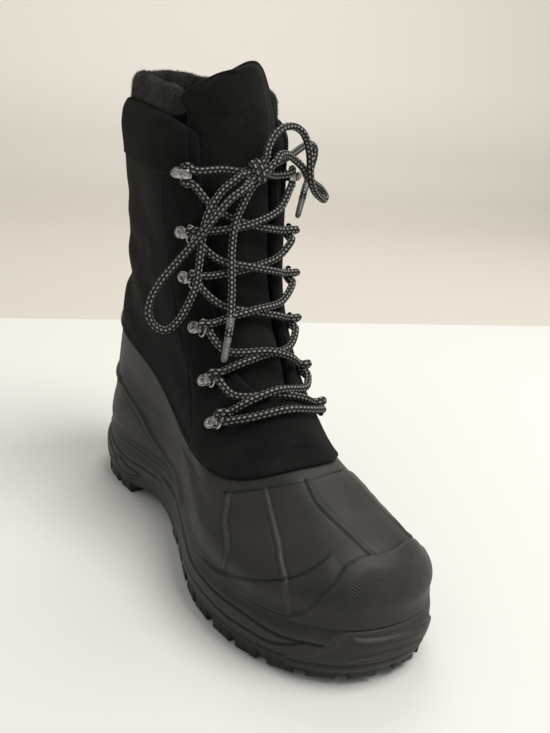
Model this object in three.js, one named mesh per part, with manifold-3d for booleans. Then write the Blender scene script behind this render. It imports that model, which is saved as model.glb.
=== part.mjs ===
// A laced winter pac boot for the left foot: rubber foot shell on a lugged sole, padded suede shaft.
// Millimetres. +Z is up, the toe points along -Y, the medial (big toe) side is -X.
// The origin is on the floor, under the middle of the heel.
import * as THREE from "three";
import { mergeVertices } from "three/addons/utils/BufferGeometryUtils.js";
import Module from "manifold-3d";

const wasm = await Module();
wasm.setup();

// ---------------------------------------------------------------- driving sizes
const gap = 0.3; // clearance between pieces that touch
const around = 48; // points round each girth
const shellWall = 3.5; // moulded rubber
const shaftWall = 5; // suede, foam and lining together
const lapProud = 1.2; // how far the sewn shaft stands over the rubber

const sole = {
  tread: 6, // depth of the lugs
  rim: 5.5, // width of the wall's top
  bedDrop: 11, // from the rim down to the bed
  toeSpring: 4,
  toeRollsFrom: -182,
  heelBevel: 10,
  heelRollsFrom: 34,
  archRise: 7,
  archFrom: -74,
  archTo: -15,
};
const lug = {
  pitch: 19.5,
  length: 14.6,
  reach: 19, // from the edge inwards
  proud: 2.2, // past the edge of the sole's base
  narrowIn: 0.85, // width of the inner end
  toeFrom: -205, // the lugs fan out round the toe
  toeNarrowIn: 0.55,
  toeReach: 0.75,
  middlePitch: 20,
  middleWidth: 24,
};
const insoleSize = { thick: 4, lift: 0.9, inset: 2.2 };
const throat = { centreX: 2, bottomZ: 98, halfBottom: 20, halfTop: 27, topZ: 280, depth: 150 };
const tongueBody = {
  gap: 1,
  thick: 8,
  edgeThin: 0.45,
  halfDegrees: 44,
  footNarrows: 0.12, // per row below the throat's foot
  crown: 3, // swells forward in the throat
  crownShare: 0.5,
  crownBlunt: 0.6,
  rise: 27, // over the collar
  leanX: -9,
  leanY: 2,
};
const roll = { from: 50, height: 13, sections: 26, lift: 0.8, endHeight: 0.55, endRun: 6 };
const standOff = 0.9; // the eyestay is hollow across a clip
const sunk = 0.2; // how far a rivet's head reaches into its clip
const clip = { back: 7.5, thick: 1.5, width: 7.2, barrelAt: 2, barrelOuter: 2, barrelInner: 1.25 };
const ring = { wire: 0.9, bar: 3.6, wide: 4.9, reach: 6.8, tilt: 32 };
const rivet = { radius: 2.7, height: 1.2, at: -4 };
const hook = { back: 6.8, thick: 1.2, width: 6.5, bend: 4.1, lip: 7 };
const lace = { radius: 2.25, sides: 8, stand: 6.4, topStand: 4.8, clear: 2.8, apart: 2.6 };

// ---------------------------------------------------------------- the last
// Degrees round a girth, from the toe: toe, corner of the toe, ball, waist, heel, back.
const stations = [0, 36, 64, 98, 140, 180];
const outerShares = [0, 0.7, 1, 0.5, 0, 0]; // how far a girth's outer width counts at each

// Middle line of the last in plan: [y, x]. It bends towards the big toe in front.
const bend = [
  [-245, -4],
  [-200, -5],
  [-155, -4.5],
  [-70, 1],
  [0, 0],
  [70, 0],
];

// Girths from the sole edge to the collar. Lean shifts a girth to the lateral side. Half widths at
// corner, ball, waist and heel; heights at toe, corner, ball, waist and back; blunt is lower for a
// squarer end; outer is the lateral half width at the ball beside the medial one.
const girthColumns = [
  "front", "back", "lean", "corner", "ball", "waist", "heel",
  "zToe", "zCorner", "zBall", "zWaist", "zBack", "blunt", "outer",
];
const girths = {
  feather: [-243.5, 66, 0, 43.5, 54.5, 40, 42, 31, 31, 31, 35, 32, 0.85, 0.97],
  bulge: [-245.5, 67.5, 0, 45, 55.5, 40.5, 43, 43, 41, 40, 44, 43, 0.85, 0.965],
  toeEdge: [-240.5, 66.5, 0, 44.5, 54.5, 40, 42, 54, 48, 46, 51, 54, 0.85, 0.84],
  toeTop: [-226, 65, 0, 43, 52, 39, 40, 64, 54, 50, 57, 63, 0.82, 0.82],
  vampLow: [-204, 64, 0, 42, 48, 38.5, 38.5, 70, 58, 54.5, 63, 73, 0.8, 0.84],
  vampHigh: [-182, 63, 0, 42, 45, 38, 37, 76, 61, 58, 68, 82, 0.74, 0.87],
  seam: [-163, 62, 0, 41, 42, 38, 35.5, 79, 63, 63, 76, 91, 0.66, 0.89],
  apron: [-141, 58, 0, 35, 39, 37, 34, 90, 75, 82, 97, 112, 0.7, 0.97],
  instep: [-108, 52, 1, 30, 35.5, 36, 32, 112, 100, 106, 122, 138, 0.75, 1],
  ankle: [-81, 46, 2, 28, 35.5, 36, 31, 142, 137, 139, 150, 164, 0.75, 1],
  calfLow: [-67, 48, 3, 30, 38, 38, 32.5, 182, 181, 182, 187, 196, 0.75, 1],
  calfHigh: [-62, 51, 3, 31, 40, 41, 34, 220, 220, 221, 225, 231, 0.75, 1],
  collar: [-60, 51, 3, 30.5, 40, 41, 33.5, 250, 251, 253, 257, 261, 0.75, 1],
};
const girthNames = Object.keys(girths);
const rowOf = (name) => girthNames.indexOf(name);
const seamRow = rowOf("seam");
const collarRow = rowOf("collar");
const seamGap = 0.045; // in rows, each side of the seam

// Cubic through (at, value) pairs with level ends.
function smooth(at, value, x) {
  const last = at.length - 1;
  if (x <= at[0]) return value[0];
  if (x >= at[last]) return value[last];
  let i = 0;
  while (x > at[i + 1]) i++;
  const slope = (k) =>
    k === 0 || k === last ? 0 : (value[k + 1] - value[k - 1]) / (at[k + 1] - at[k - 1]);
  const h = at[i + 1] - at[i];
  const t = (x - at[i]) / h;
  const a = 2 * t ** 3 - 3 * t ** 2 + 1;
  const b = t ** 3 - 2 * t ** 2 + t;
  const c = t ** 3 - t ** 2;
  return a * value[i] + b * h * slope(i) + (1 - a) * value[i + 1] + c * h * slope(i + 1);
}

const middle = (y) =>
  smooth(bend.map((p) => p[0]), bend.map((p) => p[1]), y);

// A point of one girth; deg runs from the toe (0) over the lateral side (90) to the back (180)
// and on over the medial side.
function girthPoint(row, deg) {
  const g = Object.fromEntries(girthColumns.map((name, i) => [name, row[i]]));
  const turn = ((deg % 360) + 360) % 360;
  const side = turn > 180 ? -1 : 1;
  const d = turn > 180 ? 360 - turn : turn;
  const rad = (d * Math.PI) / 180;
  const full = [g.corner, g.ball, g.waist, g.heel].map(
    (w, i) => w / Math.sin((stations[i + 1] * Math.PI) / 180) ** g.blunt,
  );
  const forward = (1 + Math.cos(rad)) / 2;
  const narrower = side > 0 ? 1 + (g.outer - 1) * smooth(stations, outerShares, d) : 1;
  const half =
    smooth(stations, [full[0], ...full, full[3]], d) * Math.sin(rad) ** g.blunt * narrower;
  const y = g.back + (g.front - g.back) * forward;
  const zHeel = g.zWaist + (g.zBack - g.zWaist) * 0.62;
  const z = smooth(stations, [g.zToe, g.zCorner, g.zBall, g.zWaist, zHeel, g.zBack], d);
  return new THREE.Vector3(middle(y) + g.lean + side * half, y, z);
}

// The upper's outer surface: row is a position in the girth list, with fractions between.
function upperPoint(row, deg) {
  const count = girthNames.length;
  const clampRow = (r) => Math.min(Math.max(r, 0), count - 1);
  const i = Math.min(Math.floor(Math.max(row, 0)), count - 2);
  const t = row - i;
  const [p0, p1, p2, p3] = [i - 1, i, i + 1, i + 2].map((r) =>
    girthPoint(girths[girthNames[clampRow(r)]], deg),
  );
  if (i === 0) p0.copy(p1).multiplyScalar(2).sub(p2);
  if (i === count - 2) p3.copy(p2).multiplyScalar(2).sub(p1);
  const at = (a, b, c, d) =>
    0.5 * (2 * b + (c - a) * t + (2 * a - 5 * b + 4 * c - d) * t * t +
      (3 * b - a - 3 * c + d) * t ** 3);
  return new THREE.Vector3(
    at(p0.x, p1.x, p2.x, p3.x),
    at(p0.y, p1.y, p2.y, p3.y),
    at(p0.z, p1.z, p2.z, p3.z),
  );
}

function upperNormal(row, deg) {
  const step = 0.05;
  const alongRow = upperPoint(row + step, deg).sub(upperPoint(row - step, deg));
  const alongDeg = upperPoint(row, deg + 1).sub(upperPoint(row, deg - 1));
  return alongDeg.cross(alongRow).normalize();
}

// Both edges at the seam share the seam's own normals, so that shell and shaft meet face to face.
function upperOffset(row, deg, out) {
  const normalRow = Math.abs(row - seamRow) < 0.1 ? seamRow : row;
  return upperPoint(row, deg).addScaledVector(upperNormal(normalRow, deg), out);
}

// ---------------------------------------------------------------- mesh helpers
// Closed solid from a lattice of points: each row is a ring. The list of rings either closes
// on itself (a hollow wall) or is capped straight across at both ends.
function ringSolid(rings, closed) {
  const n = rings[0].length;
  const positions = rings.flat().flatMap((p) => [p.x, p.y, p.z]);
  const index = [];
  const rows = rings.length;
  const last = closed ? rows : rows - 1;
  for (let r = 0; r < last; r++) {
    const a = r * n;
    const b = ((r + 1) % rows) * n;
    for (let i = 0; i < n; i++) {
      const j = (i + 1) % n;
      index.push(a + i, a + j, b + j, a + i, b + j, b + i);
    }
  }
  if (!closed) {
    capAcross(index, 0, n, true);
    capAcross(index, (rows - 1) * n, n, false);
  }
  return new THREE.BufferGeometry()
    .setAttribute("position", new THREE.Float32BufferAttribute(positions, 3))
    .setIndex(index);
}

// Joins point i of a ring with its mirror image n - i, which stands at the same place along it.
function capAcross(index, start, n, flip) {
  const add = (a, b, c) =>
    flip ? index.push(start + a, start + c, start + b) : index.push(start + a, start + b, start + c);
  for (let i = 0; i < n / 2; i++) {
    const a = i;
    const b = i + 1;
    const c = (n - i - 1) % n;
    const d = (n - i) % n;
    if (a !== d) add(a, b, d);
    if (b !== c) add(b, c, d);
  }
}

function toSolid(geometry) {
  const bare = geometry.index ? geometry.toNonIndexed() : geometry.clone();
  for (const name of Object.keys(bare.attributes)) {
    if (name !== "position") bare.deleteAttribute(name);
  }
  const merged = mergeVertices(bare, 1e-4);
  return new wasm.Manifold(
    new wasm.Mesh({
      numProp: 3,
      vertProperties: new Float32Array(merged.attributes.position.array),
      triVerts: new Uint32Array(merged.index.array),
    }),
  );
}

function fromSolid(solid) {
  const mesh = solid.getMesh();
  return new THREE.BufferGeometry()
    .setAttribute("position", new THREE.BufferAttribute(new Float32Array(mesh.vertProperties), 3))
    .setIndex(new THREE.BufferAttribute(new Uint32Array(mesh.triVerts), 1));
}

const degrees = Array.from({ length: around }, (_, i) => (360 * i) / around);

// ---------------------------------------------------------------- upper: shell and shaft
function wallRings(rowList, outer, inner) {
  const outside = rowList.map((r) => degrees.map((d) => upperOffset(r, d, outer)));
  const inside = rowList.map((r) => degrees.map((d) => upperOffset(r, d, inner)));
  return [...outside, ...inside.reverse()];
}

// Moulded rubber foot, open underneath and along the seam.
function rubberShell() {
  const rows = [0, 0.8, 1.6, 2.4, 3.3, 4.3, 5.3, seamRow - seamGap];
  return ringSolid(wallRings(rows, 0, -shellWall), true);
}

// Padded shaft, open at the collar and along the throat.
function shaft() {
  const rows = [seamRow + seamGap, 6.4, 7, 7.7, 8.4, 9.1, 9.9, 10.9, collarRow];
  const whole = toSolid(ringSolid(wallRings(rows, lapProud, lapProud - shaftWall), true));
  return fromSolid(whole.subtract(toSolid(throatCutter())));
}

// A tall slot with a round foot, standing in front of the ankle.
function throatCutter() {
  const { centreX, bottomZ, halfBottom, halfTop, topZ, depth } = throat;
  const outline = new THREE.Shape()
    .moveTo(centreX - halfTop, topZ)
    .lineTo(centreX - halfBottom, bottomZ + halfBottom)
    .absarc(centreX, bottomZ + halfBottom, halfBottom, Math.PI, 2 * Math.PI, false)
    .lineTo(centreX + halfTop, topZ)
    .closePath();
  const settings = { depth, bevelEnabled: false, curveSegments: 12 };
  return new THREE.ExtrudeGeometry(outline, settings).rotateX(Math.PI / 2);
}

// ---------------------------------------------------------------- outsole and insole
const springAt = (y) => {
  const toe = Math.max(0, (sole.toeRollsFrom - y) / (sole.toeRollsFrom - girths.feather[0]));
  const heel = Math.max(0, (y - sole.heelRollsFrom) / (girths.feather[1] - sole.heelRollsFrom));
  return sole.toeSpring * toe ** 1.7 + sole.heelBevel * heel ** 2;
};

const archAt = (y) => {
  const t = (y - sole.archFrom) / (sole.archTo - sole.archFrom);
  return t > 0 && t < 1 ? sole.archRise * Math.sin(Math.PI * t) ** 0.8 : 0;
};

const baseAt = (y) => springAt(y) + sole.tread + archAt(y);

// The sole edge, moved out by a distance in plan.
function edgePoint(deg, out) {
  const p = upperPoint(0, deg);
  const along = upperPoint(0, deg + 1).sub(upperPoint(0, deg - 1));
  const side = new THREE.Vector3(along.y, -along.x, 0).normalize();
  return p.addScaledVector(side, out);
}

// Wall of the sole: [part of the height, out from the sole edge].
const wallProfile = [
  [0, 0],
  [0.12, 3],
  [0.4, 4.4],
  [0.75, 4.2],
  [1, 2],
];

function outsole() {
  const wall = wallProfile.map(([part, out]) =>
    degrees.map((deg) => {
      const p = edgePoint(deg, out);
      const low = baseAt(p.y);
      return p.setZ(low + (p.z - gap - low) * part);
    }),
  );
  const rimInner = degrees.map((deg) => {
    const p = edgePoint(deg, -sole.rim);
    return p.setZ(p.z - gap);
  });
  const bedEdge = degrees.map((deg) => {
    const p = edgePoint(deg, -sole.rim - 1);
    return p.setZ(bedAt(p.y));
  });
  let solid = toSolid(ringSolid([...wall, rimInner, bedEdge], false));
  for (const block of [...edgeLugs(), ...middleLugs()]) solid = solid.add(toSolid(block));
  return fromSolid(solid);
}

// The bed follows the sole edge, a fixed drop below it.
const bedAt = (y) => {
  const [front, back] = girths.feather;
  const share = Math.min(Math.max((y - back) / (front - back), 0), 1);
  const deg = (Math.acos(2 * share - 1) * 180) / Math.PI;
  return Math.max(upperPoint(0, deg).z - sole.bedDrop, baseAt(y) + 3);
};

const rooted = 1; // how far a lug stands in the sole's base

// A lug from four corners in plan, given in order round it, from the ground into the sole.
function lugBlock(corners) {
  const positions = [];
  for (const c of corners) positions.push(c.x, c.y, springAt(c.y));
  for (const c of corners) positions.push(c.x, c.y, baseAt(c.y) + rooted);
  const quads = [[0, 3, 2, 1], [4, 5, 6, 7], [0, 1, 5, 4], [1, 2, 6, 5], [2, 3, 7, 6], [3, 0, 4, 7]];
  return new THREE.BufferGeometry()
    .setAttribute("position", new THREE.Float32BufferAttribute(positions, 3))
    .setIndex(quads.flatMap(([a, b, c, d]) => [a, b, c, a, c, d]));
}

function edgeLugs() {
  const finePoints = 360;
  const edge = Array.from({ length: finePoints + 1 }, (_, i) => edgePoint(i, 0));
  const lugs = [];
  let walked = 0;
  let next = lug.pitch / 2;
  for (let i = 1; i <= finePoints; i++) {
    walked += edge[i].distanceTo(edge[i - 1]);
    if (walked < next) continue;
    next += lug.pitch;
    const p = edge[i];
    if (p.y > sole.archFrom - 2 && p.y < sole.archTo + 2) continue;
    const along = edge[(i + 1) % finePoints].clone().sub(edge[i - 1]).setZ(0).normalize();
    const inward = new THREE.Vector3(-along.y, along.x, 0);
    const atToe = p.y < lug.toeFrom;
    const narrow = atToe ? lug.toeNarrowIn : lug.narrowIn;
    const reach = atToe ? lug.reach * lug.toeReach : lug.reach;
    const corner = (side, depth, share) =>
      p.clone().addScaledVector(along, (side * share * lug.length) / 2).addScaledVector(inward, depth);
    lugs.push(
      lugBlock([
        corner(1, -lug.proud, 1),
        corner(1, reach, narrow),
        corner(-1, reach, narrow),
        corner(-1, -lug.proud, 1),
      ]),
    );
  }
  return lugs;
}

function middleLugs() {
  const half = lug.middleWidth / 2;
  const spans = [
    [-208, -88],
    [-1, 19],
  ];
  return spans.flatMap(([from, to]) => {
    const count = Math.floor((to - from) / lug.middlePitch) + 1;
    return Array.from({ length: count }, (_, i) => {
      const y = from + i * lug.middlePitch;
      const x = middle(y + lug.length / 2);
      return lugBlock([
        new THREE.Vector3(x - half, y, 0),
        new THREE.Vector3(x + half, y, 0),
        new THREE.Vector3(x + half, y + lug.length, 0),
        new THREE.Vector3(x - half, y + lug.length, 0),
      ]);
    });
  });
}

function insole() {
  const layer = (lift) =>
    degrees.map((deg) => {
      const p = edgePoint(deg, -sole.rim - insoleSize.inset);
      return p.setZ(bedAt(p.y) + lift);
    });
  const bottom = gap + insoleSize.lift;
  return ringSolid([layer(bottom), layer(bottom + insoleSize.thick)], false);
}

// ---------------------------------------------------------------- tongue and collar
// The tongue lies against the inside of the shaft, swells into the throat and stands over the collar.
function tongue() {
  const inside = lapProud - shaftWall - tongueBody.gap;
  const rows = [7.2, 7.8, 8.4, 9, 9.6, 10.2, 10.8, 11.4, 12];
  const steps = 10;
  const shares = Array.from({ length: steps + 1 }, (_, i) => (2 * i) / steps - 1);
  const section = (row, narrow, lift) => {
    const half = tongueBody.halfDegrees * narrow;
    const rise = lift * tongueBody.rise;
    const above = (p) =>
      p.add(new THREE.Vector3(lift * tongueBody.leanX, lift * tongueBody.leanY, rise));
    const inThroat = THREE.MathUtils.smoothstep(row, 7.8, 8.5);
    const swell = (share) =>
      tongueBody.crown *
      inThroat *
      Math.max(0, 1 - (share / tongueBody.crownShare) ** 2) ** tongueBody.crownBlunt;
    const edgeThin = (share) => 1 - tongueBody.edgeThin * Math.abs(share) ** 6;
    const front = shares.map((s) => above(upperOffset(row, s * half, inside + swell(s))));
    const back = shares.map((s) =>
      above(upperOffset(row, s * half, inside - tongueBody.thick * edgeThin(s))),
    );
    return [...front, ...back.reverse()];
  };
  const top = [0.3, 0.6, 0.85, 0.97, 1];
  const rings = [
    ...rows.map((row) => section(row, 1 - tongueBody.footNarrows * Math.max(0, 8 - row), 0)),
    ...top.map((lift) => section(collarRow, Math.sqrt(1.02 - lift ** 4), lift)),
  ];
  return sectionSolid(rings);
}

// Closed solid through sections whose first half is the front and second half the back,
// so that a cap joins each front point to the back point behind it.
function sectionSolid(sections) {
  const n = sections[0].length;
  const index = [];
  for (let r = 0; r < sections.length - 1; r++) {
    for (let i = 0; i < n; i++) {
      const j = (i + 1) % n;
      const [a, b] = [r * n, (r + 1) * n];
      index.push(a + i, a + j, b + j, a + i, b + j, b + i);
    }
  }
  const cap = (start, flip) => {
    for (let i = 0; i < n / 2 - 1; i++) {
      const quad = [start + i, start + n - 1 - i, start + n - 2 - i, start + i + 1];
      const [a, b, c, d] = flip ? quad.reverse() : quad;
      index.push(a, b, c, a, c, d);
    }
  };
  cap(0, false);
  cap((sections.length - 1) * n, true);
  const positions = sections.flat().flatMap((p) => p.toArray());
  return new THREE.BufferGeometry()
    .setAttribute("position", new THREE.Float32BufferAttribute(positions, 3))
    .setIndex(index);
}

// Fleece roll round the top of the shaft, open at the tongue.
function collar() {
  const span = 360 - 2 * roll.from;
  // Section of the roll: [out from the shaft's inner face, part of the height]
  const profile = [
    [0, 0], [3.2, 0], [3.4, 0.3], [2.6, 0.65], [0.6, 0.92],
    [-2.4, 1], [-5.4, 0.9], [-6.8, 0.6], [-6.6, 0.3], [-4.4, 0],
  ];
  const sections = Array.from({ length: roll.sections + 1 }, (_, i) => {
    const t = i / roll.sections;
    const deg = roll.from + span * t;
    const nearEnd = Math.min(1, Math.sqrt(Math.max(0, Math.sin(Math.PI * t)) * roll.endRun));
    const height = roll.height * (roll.endHeight + (1 - roll.endHeight) * nearEnd);
    const top = upperPoint(collarRow, deg);
    const out = upperNormal(collarRow, deg).setZ(0).normalize();
    return profile.map(([side, part]) =>
      top
        .clone()
        .addScaledVector(out, lapProud - shaftWall + side)
        .add(new THREE.Vector3(0, 0, roll.lift + height * part)),
    );
  });
  return sectionSolid(sections.reverse());
}

// ---------------------------------------------------------------- lace hardware
// Height along the shaft as [row, degrees from the middle]. The first is the lowest.
const ringSeats = [
  [7.43, 32],
  [8.09, 33],
  [8.81, 36],
  [9.46, 40],
  [10.04, 39],
];
const hookSeat = [10.9, 40];

// Frame on the shaft's surface: x towards the throat, y up along the eyestay, z outwards.
function seatFrame([row, deg], side) {
  const at = upperOffset(row, side * deg, lapProud + standOff);
  const out = upperNormal(row, side * deg);
  const toThroat = upperPoint(row, side * (deg - 2)).sub(upperPoint(row, side * deg));
  toThroat.addScaledVector(out, -toThroat.dot(out)).normalize();
  const upward = out.clone().cross(toThroat).multiplyScalar(side < 0 ? 1 : -1);
  const frame = new THREE.Matrix4().makeBasis(toThroat, out.clone().cross(toThroat), out);
  return { matrix: frame.setPosition(at), at, out, toThroat, upward };
}

// Extrudes a side view drawn in (towards the throat, outwards) across the width of the piece.
function acrossWidth(shape, width, segments) {
  return new THREE.ExtrudeGeometry(shape, {
    depth: width,
    bevelEnabled: false,
    curveSegments: segments,
  })
    .rotateX(Math.PI / 2)
    .translate(0, width / 2, 0);
}

function rivetHead(base) {
  const { radius, height, at } = rivet;
  const profile = [
    new THREE.Vector2(0, 0),
    new THREE.Vector2(radius, 0),
    new THREE.Vector2(radius * 0.8, height * 0.75),
    new THREE.Vector2(0, height),
  ];
  return new THREE.LatheGeometry(profile, 8).rotateX(Math.PI / 2).translate(at, 0, base);
}

function clipSolid() {
  const { back, thick, width, barrelAt, barrelOuter, barrelInner } = clip;
  const side = new THREE.Shape()
    .moveTo(-back, 0)
    .lineTo(barrelAt, 0)
    .absarc(barrelAt, barrelOuter, barrelOuter, -Math.PI / 2, Math.PI / 2, false)
    .lineTo(-1.5, thick)
    .lineTo(-back, thick)
    .closePath();
  side.holes.push(new THREE.Path().absarc(barrelAt, barrelOuter, barrelInner, 0, 2 * Math.PI, true));
  const body = toSolid(acrossWidth(side, width, 4));
  return fromSolid(body.add(toSolid(rivetHead(thick - sunk))));
}

function ringSolidWire() {
  const { bar, wide, reach, wire, tilt } = ring;
  const half = [[0, 0], [bar, 0], [wide - 0.2, 1.2], [wide, 3.6], [wide * 0.8, reach * 0.77]];
  const right = half.map(([v, u]) => new THREE.Vector3(u, v, 0));
  const left = half.slice(1).reverse().map(([v, u]) => new THREE.Vector3(u, -v, 0));
  const path = new THREE.CatmullRomCurve3([...right, new THREE.Vector3(reach, 0, 0), ...left], true);
  const segments = 12;
  return new THREE.TubeGeometry(path, segments, wire, 6, true)
    .rotateY((-tilt * Math.PI) / 180)
    .translate(clip.barrelAt, 0, clip.barrelOuter);
}

function hookSolid() {
  const { back, thick, width, bend, lip } = hook;
  const side = new THREE.Shape()
    .moveTo(-back, 0)
    .lineTo(bend, 0)
    .absarc(bend, bend, bend, -Math.PI / 2, Math.PI / 2, false)
    .lineTo(bend - lip, 2 * bend + 1)
    .lineTo(bend - lip - 0.3, 2 * bend - thick + 1)
    .lineTo(bend, 2 * bend - thick)
    .absarc(bend, bend, bend - thick, Math.PI / 2, -Math.PI / 2, true)
    .lineTo(-back, thick)
    .closePath();
  const body = toSolid(acrossWidth(side, width, 4));
  return fromSolid(body.add(toSolid(rivetHead(thick - sunk))));
}

// ---------------------------------------------------------------- lace
// A tube with flat ends along a smooth line through the points.
function cordTube(points, steps) {
  const { radius, sides } = lace;
  const path = new THREE.CatmullRomCurve3(points, false, "centripetal");
  const section = new THREE.Shape().absarc(0, 0, radius, 0, 2 * Math.PI, false);
  return new THREE.ExtrudeGeometry(section, {
    steps,
    bevelEnabled: false,
    extrudePath: path,
    curveSegments: sides / 2,
  });
}

// Where a strand stops, just short of a ring, on its lower (-1) or upper (1) side.
function strandEnd(level, side, edge) {
  const seat = seatFrame(ringSeats[level], side);
  const tilt = (ring.tilt * Math.PI) / 180;
  const reach = clip.barrelAt + ring.reach * Math.cos(tilt) + lace.clear;
  return seat.at
    .clone()
    .addScaledVector(seat.toThroat, reach)
    .addScaledVector(seat.out, clip.barrelOuter + ring.reach * Math.sin(tilt))
    .addScaledVector(seat.upward, edge * lace.apart);
}

// Strand over the tongue between two ends, through the given [row, degrees] places.
function strand(start, places, end, stand = lace.stand) {
  const points = places.map(([row, deg]) => upperOffset(row, deg, stand));
  return toSolid(cordTube([start, ...points, end], 7));
}

// Both strands of a crossing run low over the tongue and rise beside the ring that they go to.
// Each place: [part of the height between the seats, degrees towards the side it goes to].
const risePlaces = [[0.05, -22], [0.08, -12], [0.15, -1], [0.42, 18]];

function crossing(level) {
  const low = ringSeats[level];
  const high = ringSeats[level + 1] ?? hookSeat;
  const arm = (side) => {
    const places = risePlaces.map(([part, deg]) => [low[0] + part * (high[0] - low[0]), side * deg]);
    const end = ringSeats[level + 1]
      ? strandEnd(level + 1, side, -1)
      : hookEnd(side, hook.bend + 4.6, -5);
    return strand(strandEnd(level, -side, 1), places, end);
  };
  return fromSolid(arm(1).add(arm(-1)));
}

function bottomBar() {
  const row = ringSeats[0][0] - 0.2;
  return fromSolid(
    strand(strandEnd(0, -1, -1), [[row, -12], [row - 0.03, 0], [row, 12]], strandEnd(0, 1, -1)),
  );
}

// Where a strand stops beside a hook, below its neck or towards the middle.
function hookEnd(side, toThroat, upward) {
  const seat = seatFrame(hookSeat, side);
  return seat.at
    .clone()
    .addScaledVector(seat.toThroat, toThroat)
    .addScaledVector(seat.out, hook.bend)
    .addScaledVector(seat.upward, upward);
}

function topBar() {
  const row = hookSeat[0];
  const [start, end] = [-1, 1].map((side) => hookEnd(side, hook.bend + 5.4, 2.6));
  const places = [[row + 0.1, -12], [row + 0.02, 0], [row + 0.02, 14]];
  return fromSolid(strand(start, places, end, lace.topStand));
}

// The knot, and the free cords that leave it: routes through [x, y, z].
const knot = { at: [5, -75, 220.5], size: [8.5, 5, 6.5] };
const aglet = { radius: 2.5, length: 14 };
const cordRoutes = {
  lace_loop_medial: [
    [-5, -75, 219], [-10, -75, 215], [-16, -74, 210], [-22, -74, 202], [-26, -74, 193],
    [-28, -74, 181], [-29.5, -75, 168], [-31, -75, 156], [-35, -74, 145], [-40, -72, 135],
    [-46, -69, 129], [-52, -67, 131], [-56, -66, 138], [-55, -66, 147], [-50, -67, 157],
    [-40, -70, 170], [-31, -76, 184], [-24, -80, 195], [-15, -82, 206], [-8, -82, 211],
    [-2, -79, 214.5],
  ],
  lace_loop_lateral: [
    [9, -77, 228.5], [11, -75, 234], [15, -73, 240], [20, -71, 244], [26, -69, 246],
    [33, -67, 246], [39, -66, 243], [43, -65, 238], [45, -66, 230], [46, -66, 222],
    [48, -65, 215], [54, -61, 208], [61, -57, 204], [68, -51, 202], [72, -46, 204],
    [69, -45, 208], [60, -50, 212], [51, -56, 216], [42, -63, 223], [34, -65, 228],
    [27, -69, 230.5], [20, -73, 230], [15, -77, 225.5],
  ],
  lace_end_medial: [
    [2, -75, 212.5], [-1, -75, 207], [-4, -75, 201], [-7, -75, 194], [-9, -76, 187],
    [-10, -77, 179], [-11, -79, 171], [-12, -82, 163], [-13, -85, 155], [-15, -89, 147],
    [-17, -93, 140], [-19, -96, 134.5], [-21, -98.5, 130],
  ],
  lace_end_lateral: [
    [14, -73, 220.5], [17, -70, 223.5], [22, -66.5, 225.5], [28, -62, 226.5], [34, -57, 227.5],
    [40, -51.5, 228.5], [47, -45, 230], [54, -39, 232], [61, -34, 234], [67, -31, 235],
    [71, -30, 233], [71, -31, 228], [68, -33, 221], [65, -35, 214], [61, -38, 207],
    [57, -42, 201],
  ],
};
const cordSteps = {
  lace_loop_medial: 26, lace_loop_lateral: 26, lace_end_medial: 12, lace_end_lateral: 16,
};

const routePoints = (name) => cordRoutes[name].map((p) => new THREE.Vector3(...p));

// A tag on the end of a lace, in line with it.
function agletSolid(name) {
  const [before, end] = routePoints(name).slice(-2);
  const along = end.clone().sub(before).normalize();
  const start = end.clone().addScaledVector(along, gap);
  const turn = new THREE.Quaternion().setFromUnitVectors(new THREE.Vector3(0, 1, 0), along);
  return new THREE.CylinderGeometry(aglet.radius * 0.9, aglet.radius, aglet.length, lace.sides)
    .translate(0, aglet.length / 2, 0)
    .applyQuaternion(turn)
    .translate(...start.toArray());
}

// ---------------------------------------------------------------- scene graph
const rubber = new THREE.MeshStandardMaterial({ color: 0x2b2b2a, roughness: 0.55, metalness: 0 });
const suede = new THREE.MeshStandardMaterial({ color: 0x131314, roughness: 0.95, metalness: 0 });
const padding = new THREE.MeshStandardMaterial({ color: 0x19191a, roughness: 1, metalness: 0 });
const fleece = new THREE.MeshStandardMaterial({ color: 0x1d1d1f, roughness: 1, metalness: 0 });
const felt = new THREE.MeshStandardMaterial({ color: 0x3a3a3c, roughness: 1, metalness: 0 });
const steel = new THREE.MeshStandardMaterial({ color: 0x9a9a9c, roughness: 0.3, metalness: 1 });
const tag = new THREE.MeshStandardMaterial({ color: 0x101010, roughness: 0.35, metalness: 0 });
const braid = new THREE.MeshStandardMaterial({ color: 0x1b1b1c, roughness: 0.8, metalness: 0 });

const boot = new THREE.Group();
function addNode(name, geometry, material) {
  const mesh = new THREE.Mesh(geometry, material);
  mesh.name = name;
  boot.add(mesh);
  return mesh;
}

addNode("outsole", outsole(), rubber);
addNode("insole", insole(), felt);
addNode("upper_shell", rubberShell(), rubber);
addNode("upper_shaft", shaft(), suede);
addNode("tongue", tongue(), padding);
addNode("collar", collar(), fleece);

for (const [sideName, side] of [["medial", -1], ["lateral", 1]]) {
  ringSeats.forEach((seat, level) => {
    const { matrix } = seatFrame(seat, side);
    addNode(`clip_${sideName}_${level + 1}`, clipSolid().applyMatrix4(matrix), steel);
    addNode(`ring_${sideName}_${level + 1}`, ringSolidWire().applyMatrix4(matrix), steel);
  });
  addNode(`hook_${sideName}`, hookSolid().applyMatrix4(seatFrame(hookSeat, side).matrix), steel);
}

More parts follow.
